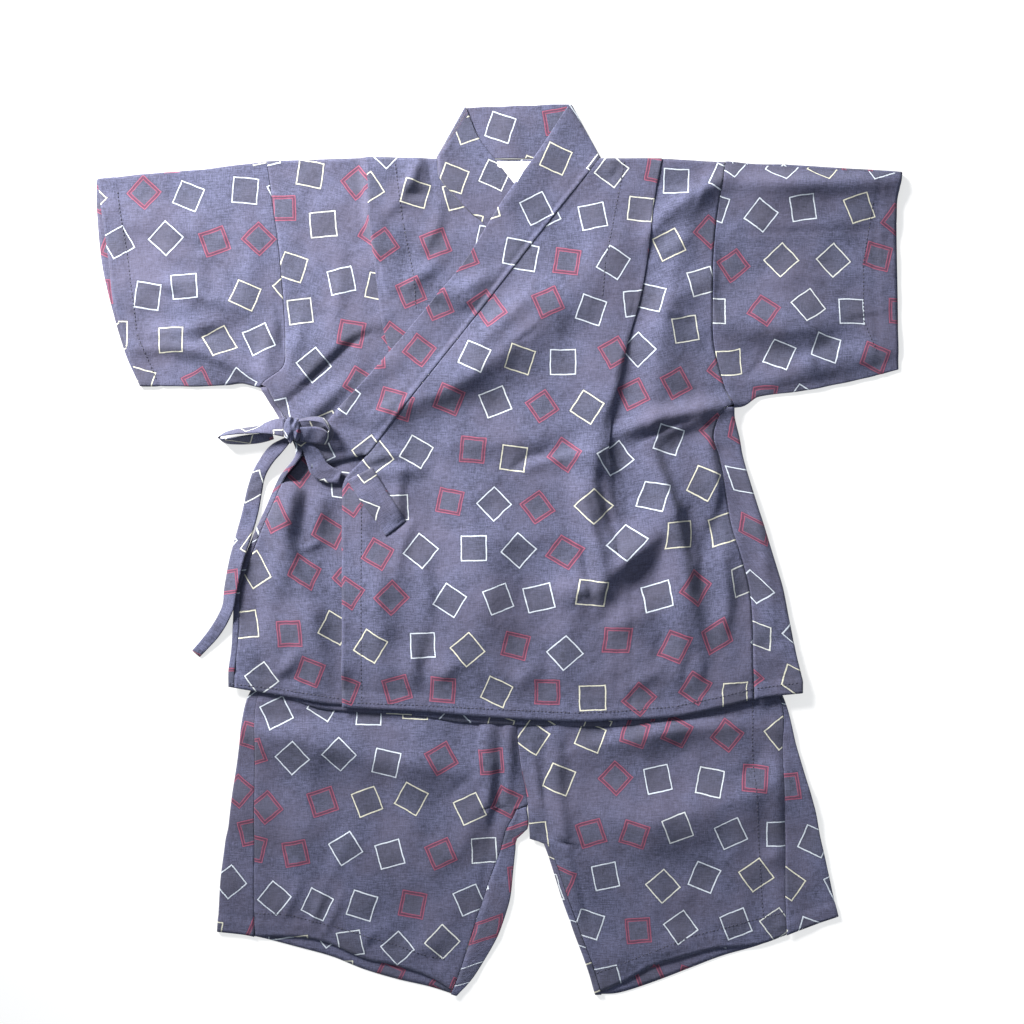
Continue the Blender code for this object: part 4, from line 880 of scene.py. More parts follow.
def right_front_shows(x, y):
    """1 where the right front is in view, falling to 0 where the left front covers it."""
    collar_covers = 50 * smooth(38, 68, y)  # the collar's lower end lies over it
    cover = read(LEFT_FRONT, "edge", y) - collar_covers
    return smooth(cover - 2, cover - 24, x)


def jacket_front_right():
    """The front that lies below, and shows from the bow to the side."""
    x, y, own_y, height, u, v = front_grid(
        RIGHT_FRONT, RIGHT_SIDE, RIGHT_HEM, RIGHT_TUCK_OPENS, -1, (84, 44), (-87, 150))
    relief = (jacket_relief(x, own_y) + hem_band(x, own_y, RIGHT_HEM)) * right_front_shows(x, y)
    relief = relief - 0.7 * at_hem(own_y)
    u = u - TAKEN_UP * slack(x, relief)
    z = height + SECOND_LAYER + ground(x, y) + relief
    piece = cloth("jacket_front_right", x, own_y, z, u, v)
    return piece


def sleeve(name, side, cuffs, fold, underarm, way):
    """A sleeve: a tube pressed flat, open at the armhole and the cuff."""
    armpit = LEFT_ARMPIT if way > 0 else RIGHT_ARMPIT
    along = np.concatenate([[0, 0.008, 0.016], np.linspace(0.032, 1.0, 52)])[:, None]
    share = np.linspace(0.0, 1.0, 72)[None, :] + 0 * along

    def place(share, column):
        """Points by their share of the way down the sleeve."""
        row_y = BODY_ROWS[0] + (armpit - BODY_ROWS[0]) * share
        armhole = read(side, "outline", row_y) + way * SEAM
        top_y, bottom_y = read(fold, "y", armhole), read(underarm, "y", armhole)
        down = np.clip((top_y - row_y) / (top_y - bottom_y), 0.0, 1.0)
        down = down + (share - down) * along
        x = armhole + (read(cuffs, column, share) - armhole) * along
        y = read(fold, "y", x) * (1 - down) + read(underarm, "y", x) * down
        return x, y - np.maximum(0.0, bottom_y - row_y) * np.maximum(0.0, 1 - along / 0.15)

    def top(x, y):
        """Height of the upper layer, with its cuff and armhole seam."""
        level = over_level(x, y) if way > 0 else SECOND_LAYER
        cuff = np.abs(x[-1:, :] - x)
        hem = 0.4 * smooth(17.5, 15.0, cuff) - 0.7 * near(cuff - 16, 1.6)
        seam = -0.2 * near(np.abs(x) - np.abs(read(side, "outline", y)), 1.4)
        return level + jacket_relief(x, y) + hem + seam

    def turn(x, y, z, out_way):
        """Columns around an edge, from the upper layer down to the ground."""
        radius = (z - FLOOR_LAYER) / 2
        for angle in np.linspace(0, math.pi, 8)[1:-1]:
            out = out_way * np.minimum(radius, SLEEVE_EDGE) * math.sin(angle)
            yield x, y + out, FLOOR_LAYER + radius * (1 + math.cos(angle))

    x, y = place(share, "front")
    z = top(x, y)
    back_x, back_y = place(share[:, ::-1], "back")
    first, last = (x[:, :1], y[:, :1], z[:, :1]), (x[:, -1:], y[:, -1:], z[:, -1:])
    x, y, z = (np.concatenate(parts, axis=1) for parts in zip(
        (x, y, z), *turn(*last, -1), (back_x, back_y, FLOOR_LAYER + 0 * back_x),
        *reversed(list(turn(*first, 1))), first))
    piece = cloth(name, x, y, z, x, unrolled(y, z, -1), closed=True)
    return piece


# ---------------------------------------------------------------- the collar and label


def ribs():
    """Lines across the collar in order: up the left front, around the neck, down the right."""
    rows = BODY_ROWS[BODY_ROWS >= COLLAR_END - ROW_TOLERANCE]
    for y in rows[::-1]:
        yield (read(LEFT_FRONT, "edge", y), y, read(OVER_COLLAR, "free_x", y),
               read(OVER_COLLAR, "free_y", y), "over")
    first, last = BACK_NECK[0], BACK_NECK[-1]
    for angle in np.linspace(math.pi, 0, 7)[1:-1]:
        yield (*first, ("turn", 1, angle))
    for k in np.linspace(0, len(BACK_NECK) - 1, 49):
        i = min(int(k), len(BACK_NECK) - 2)
        s = k - i
        yield (*(a + (b - a) * s for a, b in zip(BACK_NECK[i], BACK_NECK[i + 1])), "floor")
    for angle in np.linspace(0, math.pi, 7)[1:-1]:
        yield (*last, ("turn", -1, angle))
    for y in rows:
        yield (read(RIGHT_FRONT, "edge", y), y, read(UNDER_COLLAR, "free_x", y),
               read(UNDER_COLLAR, "free_y", y), "under")


def collar():
    """One band: up the left front, around the back of the neck and down the right front."""
    shares = np.array([0.0, 0.02, 0.05, 0.08, 0.12, 0.17, 0.25, 0.34, 0.43, 0.52, 0.61, 0.7, 0.79,
                       0.87, 0.92, 0.96, 0.98, 1.0])
    points, shifts = [], []
    for seam_x, seam_y, free_x, free_y, part in ribs():
        width = math.hypot(free_x - seam_x, free_y - seam_y)
        s = SEAM / width + (1 - SEAM / width) * shares
        x, y = seam_x + (free_x - seam_x) * s, seam_y + (free_y - seam_y) * s
        from_seam = s * width
        # the seam is sunk, its allowance stands up beside it, and a row of stitches holds it
        band = 0.9 * smooth(5.0, 0.9, from_seam) - 0.8 * near(from_seam, 0.8)
        band = band - 0.45 * near(from_seam - 5.4, 1.1)
        if part == "over":
            z = over_height(x, y) + band
        elif part == "under":
            # the band rolls softly where it goes up the neck, and its free edge lies lower
            up_neck = smooth(262, 300, y)
            roll = 3.6 * smooth(0, 4, from_seam) * smooth(0.6, 0.1, s) * up_neck
            roll = roll * smooth(353, 338, y) - 1.1 * smooth(0.6, 1.0, s) * up_neck
            z = SECOND_LAYER + band * (y > 200) + roll
        elif part == "floor":
            z = FLOOR_LAYER + 1.5 * near(x - 9, 11) * smooth(1.0, 0.7, s)
        else:
            _, way, angle = part
            out = way * LAYER / 2 * math.sin(angle) / width
            x, y = x + out * (free_y - seam_y), y + out * (seam_x - free_x)
            z = FLOOR_LAYER + LAYER / 2 * (1 - math.cos(angle)) + 0 * x
        points.append((x, y, z))
        shifts.append(COLLAR_PLACES.get(part, COLLAR_PLACES["over"]))
    x, y, z = (np.array(part) for part in zip(*points))
    shift = np.array(shifts)[:, None]
    piece = cloth("collar", x, y, z, x + shift, y + COLLAR_DRIFT * shift)
    return piece


def neck_label(material):
    """The woven label inside the back of the neck, bare."""
    low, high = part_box("neck_label")
    sheet = bmesh.new()
    bolt = sheet.loops.layers.uv.new("Cloth")
    bmesh.ops.create_grid(sheet, x_segments=34, y_segments=22, size=0.5)
    center, size = (low + high) / 2, high - low
    for vert in sheet.verts:
        x, y = vert.co.x, vert.co.y
        folded_top = 0.2 * math.exp(-(((0.5 - y) / 0.06) ** 2))
        sag = 0.12 * math.sin(9 * x + 2) * math.cos(7 * y) + folded_top
        vert.co = (center.x + x * size.x, center.y + y * size.y, center.z + (sag + 0.1) * MM)
    for face in sheet.faces:
        for loop in face.loops:
            loop[bolt].uv = loop.vert.co.xy
    piece = piece_of("neck_label_woven", sheet, material, nodes=["neck_label"])
    give_wall(piece, LABEL_WALL * MM)
    return piece


# ---------------------------------------------------------------- the shorts

LEG_ROWS = np.linspace(-67.0, -308.0, 92)


def leg_y(x, y, hem):
    """A row's own y at places across: the lower rows follow the leg's hem."""
    share = np.maximum(0.0, (RIGHT_CROTCH - y) / (RIGHT_CROTCH - LEG_ROWS[-1]))
    return y + share * (read(hem, "y", x) - LEG_ROWS[-1])


def leg_x(leg, column, y, hem):
    """Where a row meets one of the leg's lines, found in a few rounds because the row is bent."""
    x = read(leg, column, y)
    for _ in range(4):
        x = read(leg, column, leg_y(x, y, hem))
    return x


def shorts_front(name, leg, crotch, hem, way):
    """A front of the shorts: one half of the seat and one leg."""
    y = LEG_ROWS[:, None]
    outer = leg_x(leg, "side_seam", y, hem) - way * SEAM / 2
    inner = np.where(y <= crotch, leg_x(leg, "inseam", y, hem), read(CENTER_SEAM, "x", y))
    share = np.concatenate([[0, 0.004, 0.01], np.linspace(0.022, 0.978, 76), [0.99, 0.996, 1.0]])
    x = outer + (inner + way * SEAM / 2 - outer) * share
    y = y + 0 * x
    own_y = leg_y(x, y, hem)
    gather = 0.5 + 0.5 * np.cos(math.pi * GATHERS * share)
    z = SECOND_LAYER + GATHER_HEIGHT * gather * smooth(GATHERS_END, LEG_ROWS[0], y)
    z = z + shorts_relief(x, own_y) + hem_band(x, own_y, hem)
    # both seams are sunk, with the side seam's allowance beside it; at the hem all lies closer
    z = z - 0.35 * near(x - outer, 1.1) + 0.35 * smooth(11, 8, np.abs(x - outer))
    z = z - 0.5 * near(x - inner, 1.1)
    z = z - 0.75 * (z - 1.75) * smooth(16, 2, own_y - read(hem, "y", x))
    u = x + TAKEN_UP * slack(x, z)
    piece = cloth(name, x, own_y, z, u, own_y)
    return piece


def shorts_back(name, leg, crotch, hem, way):
    """A back of the shorts: it turns forward around the leg's outside and, below, its inside."""
    side_panel, across, inside, bend = 14, 70, 4, LAYER / 2
    rows = []
    for y in LEG_ROWS:
        outer = way * leg_x(leg, "outline", y, hem)
        seam = way * leg_x(leg, "side_seam", y, hem) + SEAM / 2
        path = Path(seam, SECOND_LAYER, 0.0)
        path.run(max(LEAST_PANEL, outer - bend - seam), side_panel)
        path.bend(bend, -math.pi)
        if y > crotch:
            path.run(path.across - way * read(CENTER_SEAM, "x", y) - SEAM / 2, across)
            path.run(0.0, BEND_STEPS + inside)
        else:
            path.run(path.across - way * leg_x(leg, "inner", y, hem) - bend, across)
            path.bend(bend, -math.pi)
            inseam = way * leg_x(leg, "inseam", y, hem) - SEAM / 2
            path.run(max(LEAST_PANEL, inseam - path.across), inside)
        rows.append(path.points)
    x, y, height = laid_out(rows, LEG_ROWS)
    x = way * x
    own_y = leg_y(x, y, hem)
    z = height + on_upper(height) * (shorts_relief(x, own_y) + hem_band(x, own_y, hem))
    first_inside = side_panel + BEND_STEPS + across

    def seat_inside(r, c):
        return c >= first_inside and LEG_ROWS[r + 1] > crotch

    piece = cloth(name, x, own_y, z, unrolled(x, height, -way), own_y, leave_out=seat_inside)
    return piece


def waistband():
    """The elastic casing, a short tube pressed flat, with its gathers."""
    bend = LAYER / 2
    path = Path(WAIST_ENDS[0] + bend, SECOND_LAYER, 0.0)
    for _ in range(2):
        path.run(WAIST_ENDS[1] - WAIST_ENDS[0] - 2 * bend, 80)
        path.bend(bend, -math.pi)
    places = np.linspace(WAIST, WAIST - WAISTBAND, 10)
    x, y, height = laid_out([path.points] * len(places), places)
    z = height + 0.3 * np.sin(x / 2.1) * on_upper(height)
    piece = cloth("waistband", x, y, z, GATHERED * unrolled(x, height), y, closed=True)
    return piece


# ---------------------------------------------------------------- the ties


def strip(name, sections, beneath=None, wrinkle=0.5):
    """A tie's stretch through its sections: a sewn strip with rolled edges and small wrinkles."""
    steps, lengthwise = 9, 7
    columns = sections[0]._fields
    placed = table("at " + " ".join(columns), *((k, *row) for k, row in enumerate(sections)))
    at = np.linspace(0, len(sections) - 1, (len(sections) - 1) * lengthwise + 1)[:, None]
    x0, y0, z0, x1, y1, z1 = (read(placed, column, at) for column in columns)
    s = np.linspace(0, 1, steps + 1)[None, :]
    x, y, z = x0 + (x1 - x0) * s, y0 + (y1 - y0) * s, z0 + (z1 - z0) * s
    if beneath:
        z = z + beneath(x, y)
    ends = (x0, x1), (y0, y1), (z0, z1)
    step = np.sqrt(sum(np.diff((a + b) / 2, axis=0) ** 2 for a, b in ends))
    v = np.concatenate([[[0.0]], np.cumsum(step, axis=0)]) + 0 * s
    width = np.sqrt((x1 - x0) ** 2 + (y1 - y0) ** 2 + (z1 - z0) ** 2)
    soft = wrinkle * np.sin(v / 4.3 + 2.1 * np.sin(v / 7.7) + 2.4 * s) * np.sin(math.pi * s)
    rolled = 0.5 * np.sin(math.pi * s) ** 0.5  # its middle stands above its edges
    z = z + np.maximum(soft, -0.25) + rolled - 0.3
    offset = 7 * len(name)  # each tie has its own place on the bolt
    piece = cloth(name, x, y, z, s * width + offset, v + 3 * offset, wall=TIE_WALL)
    wide, long = float(np.mean(width)) * MM, float(v[-1, 0]) * MM
    flat = (max(0.0101, wide), max(0.0101, long))
    return piece


def tie_knot():
    """The knot: one tie wrapped tight around the other, pleated where it is pulled."""
    center, radii = Vector(KNOT_MIDDLE), Vector(KNOT_RADII)
    ball = bmesh.new()
    bolt = ball.loops.layers.uv.new("Cloth")
    bmesh.ops.create_uvsphere(ball, u_segments=64, v_segments=40, radius=1.0)
    for vert in ball.verts:
        x, y, z = vert.co
        around = math.atan2(z, y)
        pleats = 0.075 * math.sin(5 * around + 6.5 * x) + 0.05 * math.sin(11 * x + 3 * around + 1)
        pinch = 1 - 0.22 * math.exp(-((x - 0.15) / 0.22) ** 2)
        swell = (1 + pleats * (1 - x * x)) * pinch
        vert.co = (center + Vector((x * radii.x, y * swell * radii.y, z * swell * radii.z))) * MM
    for face in ball.faces:
        for loop in face.loops:
            co = loop.vert.co
            around = math.atan2(co.z - center.z * MM, co.y - center.y * MM)
            loop[bolt].uv = (co.x + 0.2, around * KNOT_WRAP)
    return piece_of("tie_knot_wrapped", ball, cotton(), nodes=["tie_knot"])


def on_left_front(x, y):
    """Top of the left front at points."""
    return over_height(x, y) + ground(x, y) + 0.5


# ---------------------------------------------------------------- stitching


def stitched(name, lines, pieces, material, pitch):
    """Rows of small stitches along lines, each let into the cloth that lies uppermost there."""
    bpy.context.view_layer.update()
    depsgraph = bpy.context.evaluated_depsgraph_get()
    trees = [BVHTree.FromObject(bpy.data.objects[piece + "_cloth"], depsgraph) for piece in pieces]
    above, down = 60, Vector((0, 0, -1))
    scale = Matrix.Diagonal((*(side * MM for side in STITCH), 1))
    chance = np.random.default_rng(5)
    thread = bmesh.new()
    for line in lines:
        for (ax, ay), (bx, by) in zip(line, line[1:]):
            length = math.dist((ax, ay), (bx, by))
            for k in range(int(length / pitch)):
                s = (k + 0.5) * pitch / length
                x, y = ax + (bx - ax) * s, ay + (by - ay) * s + chance.uniform(-0.1, 0.1)
                hits = [tree.ray_cast(Vector((x, y, above)) * MM, down) for tree in trees]
                hits = [hit for hit in hits if hit[0] is not None]
                if not hits:
                    continue
                place, normal, _, _ = max(hits, key=lambda hit: hit[0].z)
                along = Vector((bx - ax, by - ay, 0)).normalized()
                along = (along - normal * along.dot(normal)).normalized()
                basis = Matrix((along, normal.cross(along), normal)).transposed().to_4x4()
                where = Matrix.Translation(place + normal * STITCH_RISE * MM)
                bmesh.ops.create_icosphere(thread, subdivisions=1, radius=1.0,
                                           matrix=where @ basis @ scale)
    return piece_of(name, thread, material)


# ---------------------------------------------------------------- materials


class Socket:
    """One output in a material's node tree. Arithmetic on it adds Math nodes."""

    def __init__(self, tree, output):
        self.tree, self.output = tree, output

    def node(self, kind, settings=(), sockets=(), out=0):
        """Adds a node: its settings first, then the values or links of its sockets."""
        added = self.tree.nodes.new(kind)
        for name, value in dict(settings).items():
            setattr(added, name, value)
        for key, value in dict(sockets).items():
            if isinstance(value, Socket):
                self.tree.links.new(value.output, added.inputs[key])
            else:
                added.inputs[key].default_value = value
        return Socket(self.tree, added.outputs[out])

    def math(self, operation, *others):
        """A Math node on this value and others."""
        return self.node("ShaderNodeMath", {"operation": operation}, enumerate((self, *others)))

    def __add__(self, other):
        return self.math("ADD", other)

    def __sub__(self, other):
        return self.math("SUBTRACT", other)

    def __rsub__(self, other):
        return self.node("ShaderNodeMath", {"operation": "SUBTRACT"}, {0: other, 1: self})

    def __mul__(self, other):
        return self.math("MULTIPLY", other)

    def __truediv__(self, other):
        return self.math("DIVIDE", other)

    def __lt__(self, other):
        return self.math("LESS_THAN", other)

    def __abs__(self):
        return self.math("ABSOLUTE")

    __radd__, __rmul__ = __add__, __mul__

    def part(self, axis):
        """One coordinate of a vector or one channel of a colour, as 0, 1 or 2."""
        return self.node("ShaderNodeSeparateXYZ", sockets={0: self}, out=axis)

    def vector(self, operation, other):
        """A Vector Math node on this vector and another."""
        return self.node("ShaderNodeVectorMath", {"operation": operation}, {0: self, 1: other})

    def noise(self, scale, detail=2.0, roughness=0.5, out=0):
        """Noise over this vector; a scale of three numbers stretches it."""
        place = self.vector("MULTIPLY", scale if isinstance(scale, tuple) else (scale,) * 3)
        values = {"Vector": place, "Scale": 1.0, "Detail": detail, "Roughness": roughness}
        return self.node("ShaderNodeTexNoise", {"noise_dimensions": "3D"}, values, out)

    def chances(self):
        """Three random numbers for this place, as a colour."""
        return self.node("ShaderNodeTexWhiteNoise", {"noise_dimensions": "3D"}, {0: self}, 1)

    def mixed(self, dark, light):
        """A colour between two, by this factor."""
        return self.node("ShaderNodeMix", {"data_type": "RGBA"}, {0: self, 6: dark, 7: light}, 2)

    def eased(self, low, high, start=0.0, end=1.0):
        """This value from low to high, as start to end on an even curve."""
        return self.node("ShaderNodeMapRange", {"interpolation_type": "SMOOTHSTEP"},
                         enumerate((self, low, high, start, end)))


def blank(name):
    """A material, its shader and a way into its node tree."""
    material = bpy.data.materials.new(name)
    material.use_nodes = True
    tree = material.node_tree
    return material, tree.nodes["Principled BSDF"], Socket(tree, None)


def finish_shader(shader, color, roughness, height=None):
    """Links what changes over the surface: its colour, roughness and relief in metres."""
    links = color.tree.links
    links.new(color.output, shader.inputs["Base Color"])
    links.new(roughness.output, shader.inputs["Roughness"])
    if height:
        values = {"Strength": 1.0, "Distance": 1.0, "Height": height}
        bump = height.node("ShaderNodeBump", sockets=values)
        links.new(bump.output, shader.inputs["Normal"])


def printed_cotton(name):
    """Indigo plain weave with slubs, screen printed with turned squares in white and red."""
    s = scene_settings()
    material, shader, tree = blank(name)
    bolt = tree.node("ShaderNodeUVMap", {"uv_map": "Cloth"})

    # noise has its scale in waves to the metre, and lengths are metres
    stray, soft = 0.0011, 0.00016  # how far a drawn line strays, and how soft its edge is
    waver = bolt.noise(110.0, 1.0, out=1).vector("SUBTRACT", (0.5, 0.5, 0.5))
    drawn = bolt.vector("ADD", waver.vector("MULTIPLY", (stray, stray, 0.0)))
    x, y = drawn.part(0), drawn.part(1)

    # one square to a cell of the bolt, each off the cell's middle and turned its own way
    row = (y / s.print_pitch).math("FLOOR")
    shift = row.math("FLOORED_MODULO", 2.0) * 0.5
    column = (x / s.print_pitch + shift).math("FLOOR")
    cell = column.node("ShaderNodeCombineXYZ", sockets={0: column, 1: row, 2: s.print_seed})
    chance = cell.chances()
    other = cell.vector("ADD", (31.7, 12.3, 5.9)).chances()
    loose = 2 * s.print_scatter
    across = x - (column - shift + 0.5 + (chance.part(0) - 0.5) * loose) * s.print_pitch
    up = y - (row + 0.5 + (chance.part(1) - 0.5) * loose) * s.print_pitch
    turn = chance.part(2) * (math.pi / 2)
    cosine, sine = turn.math("COSINE"), turn.math("SINE")
    side_a = abs(across * cosine + up * sine) * (1 + (other.part(1) - 0.5) * 0.09)
    side_b = abs(up * cosine - across * sine)
    out = side_a.math("MAXIMUM", side_b)
    half, line = s.square / 2, s.line
    inset = 2.3 * line  # from a red square's outer line to its inner one

    def drawn_line(at, width):
        """1 on a line at a distance from the square's middle."""
        return abs(out - at).eased(width / 2 - soft, width / 2 + soft, 1.0, 0.0)

    red = other.part(0) < s.red_share
    outer = drawn_line(half, line - red * line * 0.25)
    inner = drawn_line(half - inset, line * 0.65) * red
    between = drawn_line(half - inset / 2, inset) * red
    inside = out < half
    contour = abs(out - half).eased(line * 0.5, line * 1.9, 1.0, 0.0)

    # warp and weft, with slubs and the cloudiness of the dye
    warp = bolt.noise((1300.0, 150.0, 1.0), 3.0, 0.6)
    weft = bolt.noise((140.0, 1200.0, 1.0), 3.0, 0.6)
    cloud = bolt.noise(30.0, 3.0, 0.6)
    grain = bolt.noise(1100.0, 2.0, 0.6)
    threads = (warp - 0.5) * 1.9 + (weft - 0.5) * 2.3
    tone = threads + (cloud - 0.5) * 1.0 + (grain - 0.5) * 1.6 + 0.5
    dyed = tone.mixed((*s.cotton_dark, 1), (*s.cotton_light, 1))
    violet = bolt.noise(14.0, 3.0, 0.6).eased(0.38, 0.66)
    dyed = (violet * 0.45).mixed(dyed, (*s.cotton_violet, 1))
    dyed = (inside * 0.35).mixed(dyed, (*s.cotton_inside, 1))
    dyed = (contour * 0.6).mixed(dyed, (*s.cotton_dark, 1))
    white = other.part(2).eased(0.45, 0.75).mixed((*s.print_white, 1), (*s.print_cream, 1))
    ink = red.mixed(white, (*s.print_red, 1))
    worn = ((warp + weft) * 0.45 + 0.52).math("MINIMUM", 1.0)
    color = (between * 0.55).mixed(dyed, (*s.print_dark_red, 1))
    color = (inner * worn * 0.85).mixed(color, (*s.print_red, 1))
    color = (outer * worn * (1 - red * 0.1)).mixed(color, ink)

    # the weave's relief
    thread = 2 * math.pi / s.thread_pitch
    weave = (bolt.part(0) * thread).math("SINE") * (bolt.part(1) * thread).math("SINE")
    ripple = bolt.noise(150.0, 3.0, 0.55) - 0.5
    height = weave * 0.00003 + (warp + weft) * 0.00010 + ripple * 0.0006 + outer * 0.00003
    rough = 0.9 - outer * 0.15 - (grain - 0.5) * 0.1
    finish_shader(shader, color, rough, height)
    shader.inputs["Sheen Weight"].default_value = 0.12
    shader.inputs["Sheen Roughness"].default_value = 0.45
    shader.inputs["Specular IOR Level"].default_value = 0.25
    return material


def thread_material(name):
    """Spun polyester thread, the colour of the cloth's shadow, with its twist."""
    s = scene_settings()
    material, shader, tree = blank(name)
    place = tree.node("ShaderNodeTexCoord", out=3)
    twist = place.noise((2600.0, 2600.0, 900.0), 1.0)
    color = twist.mixed((*s.thread, 1), (*(c * 1.9 for c in s.thread), 1))
    finish_shader(shader, color, 0.75 - twist * 0.2, twist * 0.00008)
    return material


def label_material(name):
    """Bare white satin label, woven in fine ribs."""
    s = scene_settings()
    material, shader, tree = blank(name)
    bolt = tree.node("ShaderNodeUVMap", {"uv_map": "Cloth"})
    rib = (bolt.part(1) * 330.0).math("SINE")
    grain = bolt.noise((260.0, 60.0, 1.0), 2.0)
    color = (rib * 0.2 + grain * 0.8).mixed((*(c * 0.82 for c in s.label), 1), (*s.label, 1))
    finish_shader(shader, color, 0.55 + grain * 0.2, rib * 0.00002 + grain * 0.00004)
    return material


def floor_material(name):
    """A plain pale surface."""
    material, shader, tree = blank(name)
    cloud = tree.node("ShaderNodeTexCoord", out=3).noise(6.0, 3.0)
    color = cloud.mixed((0.265, 0.265, 0.27, 1), (0.275, 0.275, 0.275, 1))
    finish_shader(shader, color, 0.75 + cloud * 0.1)
    shader.inputs["Emission Color"].default_value = (1.0, 1.0, 0.99, 1.0)
    shader.inputs["Emission Strength"].default_value = 0.66
    return material


def material_named(name, make):
    """The material of that name, which is made when it is first asked for."""
    return bpy.data.materials.get(name) or make(name)


def cotton():
    """The cloth of every piece of the set."""
    return material_named("printed cotton", printed_cotton)


# ---------------------------------------------------------------- settings, operators and panel


def color_property(name, description, default):
    """A colour that a user may change."""
    return FloatVectorProperty(name=name, description=description, subtype="COLOR", size=3,
                               min=0.0, max=1.0, default=default)


def length_property(name, description, default):
    """A length that a user may change."""
    return FloatProperty(name=name, description=description, default=default, min=0.0,
                         unit="LENGTH", subtype="DISTANCE", precision=4)


class JinbeiSettings(bpy.types.PropertyGroup):
    """Sizes and colours of the set."""

    wall: length_property("Cloth", "Thickness of one layer of cloth", 0.0008)
    hem: length_property("Hem", "Depth of the turned hems", 0.0128)
    crumple: length_property("Crumple", "Height of the soft unevenness", 0.0011)
    broad_folds: FloatProperty(name="Broad folds", description="Share of the broad folds' height",
                               default=0.9, min=0.0, max=1.0, subtype="FACTOR")
    thread_pitch: length_property("Threads", "Distance between neighbouring threads", 0.00062)
    stitch_pitch: length_property("Stitches", "Distance from one stitch to the next", 0.0031)
    square: length_property("Square", "Side of a printed square", 0.0196)
    line: length_property("Line", "Width of a printed line", 0.00094)
    print_pitch: length_property("Print spacing", "Mean distance between squares", 0.0385)
    print_scatter: FloatProperty(name="Scatter", description="How far a square leaves its place",
                                 default=0.13, min=0.0, max=0.16, subtype="FACTOR")
    print_seed: FloatProperty(name="Seed", description="Another lie of the squares", default=3.0)
    red_share: FloatProperty(name="Red squares", description="Share of squares printed in red",
                             default=0.37, min=0.0, max=1.0, subtype="FACTOR")
    cotton_dark: color_property("Cotton, dark", "Darkest threads", (0.028, 0.030, 0.054))
    cotton_light: color_property("Cotton, light", "Lightest threads", (0.080, 0.085, 0.148))
    cotton_violet: color_property("Cotton, faded", "Where the dye has faded",
                                  (0.063, 0.055, 0.085))
    cotton_inside: color_property("Cotton, printed over", "Ground of the squares",
                                  (0.032, 0.034, 0.044))
    print_white: color_property("White", "Printed white", (0.39, 0.425, 0.475))
    print_cream: color_property("Cream", "Printed cream", (0.42, 0.41, 0.33))
    print_red: color_property("Red", "Red lines", (0.205, 0.048, 0.086))
    print_dark_red: color_property("Dark red", "Ground between the red lines",
                                   (0.080, 0.011, 0.028))
    thread: color_property("Thread", "Sewing thread", (0.014, 0.014, 0.028))
    label: color_property("Label", "Woven label", (0.62, 0.62, 0.62))
    key_power: FloatProperty(name="Window", description="Power of the large soft light",
                             default=16.6, min=0.0, unit="POWER")
    key_spread: FloatProperty(name="Window spread", description="Angle that its light fills",
                              default=math.radians(48), subtype="ANGLE")
    fill: FloatProperty(name="Fill", description="Strength of the light from all round",
                        default=0.56)


class JINBEI_OT_jacket_body(bpy.types.Operator):
    """Makes the jacket's back and its two fronts, with their shoulder tucks"""

    bl_idname = "jinbei.jacket_body"
    bl_label = "Jacket back and fronts"

    def execute(self, context):
        jacket_back()
        jacket_front_right()
        jacket_front_left()
        return {"FINISHED"}


class JINBEI_OT_sleeves(bpy.types.Operator):
    """Makes both sleeves"""

    bl_idname = "jinbei.sleeves"
    bl_label = "Sleeves"

    def execute(self, context):
        sleeve("sleeve_right", RIGHT_SIDE, RIGHT_CUFF, RIGHT_SLEEVE_FOLD, RIGHT_UNDERARM, -1)
        sleeve("sleeve_left", LEFT_SIDE, LEFT_CUFF, LEFT_SLEEVE_FOLD, LEFT_UNDERARM, 1)
        return {"FINISHED"}


class JINBEI_OT_collar(bpy.types.Operator):
    """Makes the collar band and the bare label inside the neck"""

    bl_idname = "jinbei.collar"
    bl_label = "Collar and label"

    def execute(self, context):
        collar()
        neck_label(material_named("woven label", label_material))
        return {"FINISHED"}


class JINBEI_OT_shorts(bpy.types.Operator):
    """Makes the shorts: two backs, two fronts and the gathered waistband"""

    bl_idname = "jinbei.shorts"
    bl_label = "Shorts"

    def execute(self, context):
        shorts_back("shorts_back_right", RIGHT_LEG, RIGHT_CROTCH, RIGHT_LEG_BACK_HEM, -1)
        shorts_back("shorts_back_left", LEFT_LEG, LEFT_CROTCH, LEFT_LEG_BACK_HEM, 1)
        shorts_front("shorts_front_right", RIGHT_LEG, RIGHT_CROTCH, RIGHT_LEG_HEM, -1)
        shorts_front("shorts_front_left", LEFT_LEG, LEFT_CROTCH, LEFT_LEG_HEM, 1)
        waistband()
        return {"FINISHED"}


class JINBEI_OT_bow(bpy.types.Operator):
    """Makes the ties and their bow"""

    bl_idname = "jinbei.bow"
    bl_label = "Ties and bow"

    def execute(self, context):
        strip("tie_root_side", SIDE_TIE)
        strip("tie_root_collar", COLLAR_TIE, wrinkle=0.9)
        strip("tie_loop_outer", LOOP_OUT)
        strip("tie_loop_inner", LOOP_IN)
        strip("tie_tail_long", TAIL_LONG)
        strip("tie_tail_short", TAIL_SHORT, beneath=on_left_front)
        tie_knot()
        return {"FINISHED"}


class JINBEI_OT_stitching(bpy.types.Operator):
    """Sews the visible rows of stitches"""

    bl_idname = "jinbei.stitching"
    bl_label = "Stitching"

    def execute(self, context):
        sewn = material_named("sewing thread", thread_material)
        pitch = context.scene.jinbei.stitch_pitch / MM
        stitched("stitches_jacket", JACKET_STITCHES, ["jacket_front_left", "jacket_front_right",
                 "jacket_back", "collar"], sewn, pitch)
        stitched("stitches_sleeves", SLEEVE_STITCHES, ["sleeve_left", "sleeve_right"], sewn, pitch)
        stitched("stitches_shorts", SHORTS_STITCHES, ["shorts_front_left", "shorts_front_right"],
                 sewn, pitch)
        return {"FINISHED"}


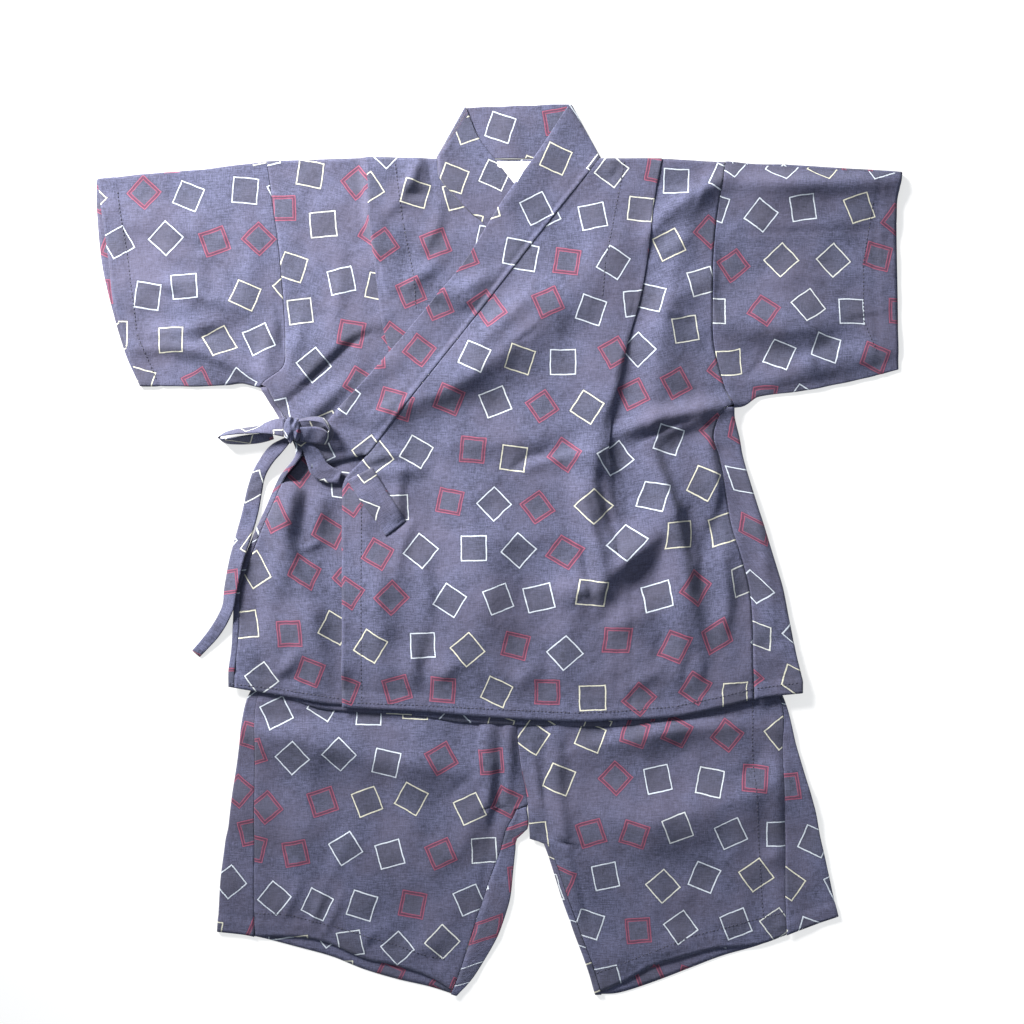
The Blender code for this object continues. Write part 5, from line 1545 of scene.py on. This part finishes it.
class JINBEI_OT_stage(bpy.types.Operator):
    """Sets the pale surface, the soft light from the upper left and the camera above"""

    bl_idname = "jinbei.stage"
    bl_label = "Surface, light and camera"

    def execute(self, context):
        s = context.scene.jinbei
        plane = bmesh.new()
        bmesh.ops.create_grid(plane, x_segments=8, y_segments=8, size=4.0)
        surface = mesh_object("surface", plane, material_named("pale surface", floor_material))
        surface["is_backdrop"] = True

        window = bpy.data.lights.new("window", "AREA")
        window.shape = "RECTANGLE"
        window.size, window.size_y = WINDOW_SIZE
        window.energy, window.spread, window.color = s.key_power, s.key_spread, WINDOW_COLOR
        lamp = in_scene("window", window)
        lamp.location = WINDOW_PLACE
        aim = Vector(WINDOW_AIM) - lamp.location
        lamp.rotation_euler = aim.to_track_quat("-Z", "Y").to_euler()

        world = bpy.data.worlds.new("room")
        world.use_nodes = True
        background = world.node_tree.nodes["Background"].inputs
        background["Color"].default_value = ROOM_COLOR
        background["Strength"].default_value = s.fill
        context.scene.world = world
        context.scene.view_settings.view_transform = "Standard"

        camera = bpy.data.cameras.new("above")
        camera.lens, camera.sensor_width = 50.0, 36.0
        camera.clip_start, camera.clip_end = 0.05, 20.0
        above = in_scene("above", camera)
        above.location = CAMERA_PLACE
        context.scene.camera = above
        return {"FINISHED"}


STEPS = (
    JINBEI_OT_jacket_body, JINBEI_OT_sleeves, JINBEI_OT_collar, JINBEI_OT_shorts, JINBEI_OT_bow,
    JINBEI_OT_stitching, JINBEI_OT_stage,
)


class JINBEI_PT_panel(bpy.types.Panel):
    """Lists the settings and the steps"""

    bl_label = "Jinbei"
    bl_space_type = "VIEW_3D"
    bl_region_type = "UI"
    bl_category = "Jinbei"

    def draw(self, context):
        for name in JinbeiSettings.__annotations__:
            self.layout.prop(context.scene.jinbei, name)
        for step in STEPS:
            self.layout.operator(step.bl_idname)


CLASSES = (JinbeiSettings, *STEPS, JINBEI_PT_panel)


def register():
    """Registers the classes and puts the settings on the scene."""
    for cls in CLASSES:
        bpy.utils.register_class(cls)
    bpy.types.Scene.jinbei = PointerProperty(type=JinbeiSettings)


def unregister():
    """Takes both away again."""
    del bpy.types.Scene.jinbei
    for cls in reversed(CLASSES):
        bpy.utils.unregister_class(cls)


def main():
    """Makes the set and its stage, and measures how large the set is."""
    register()
    for step in STEPS:
        group, name = step.bl_idname.split(".")
        getattr(getattr(bpy.ops, group), name)()
    boxes = {"cad": cad_box, "visual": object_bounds()}
    {key: [list(corner) for corner in box] for key, box in boxes.items()}


if __name__ == "__main__":
    main()
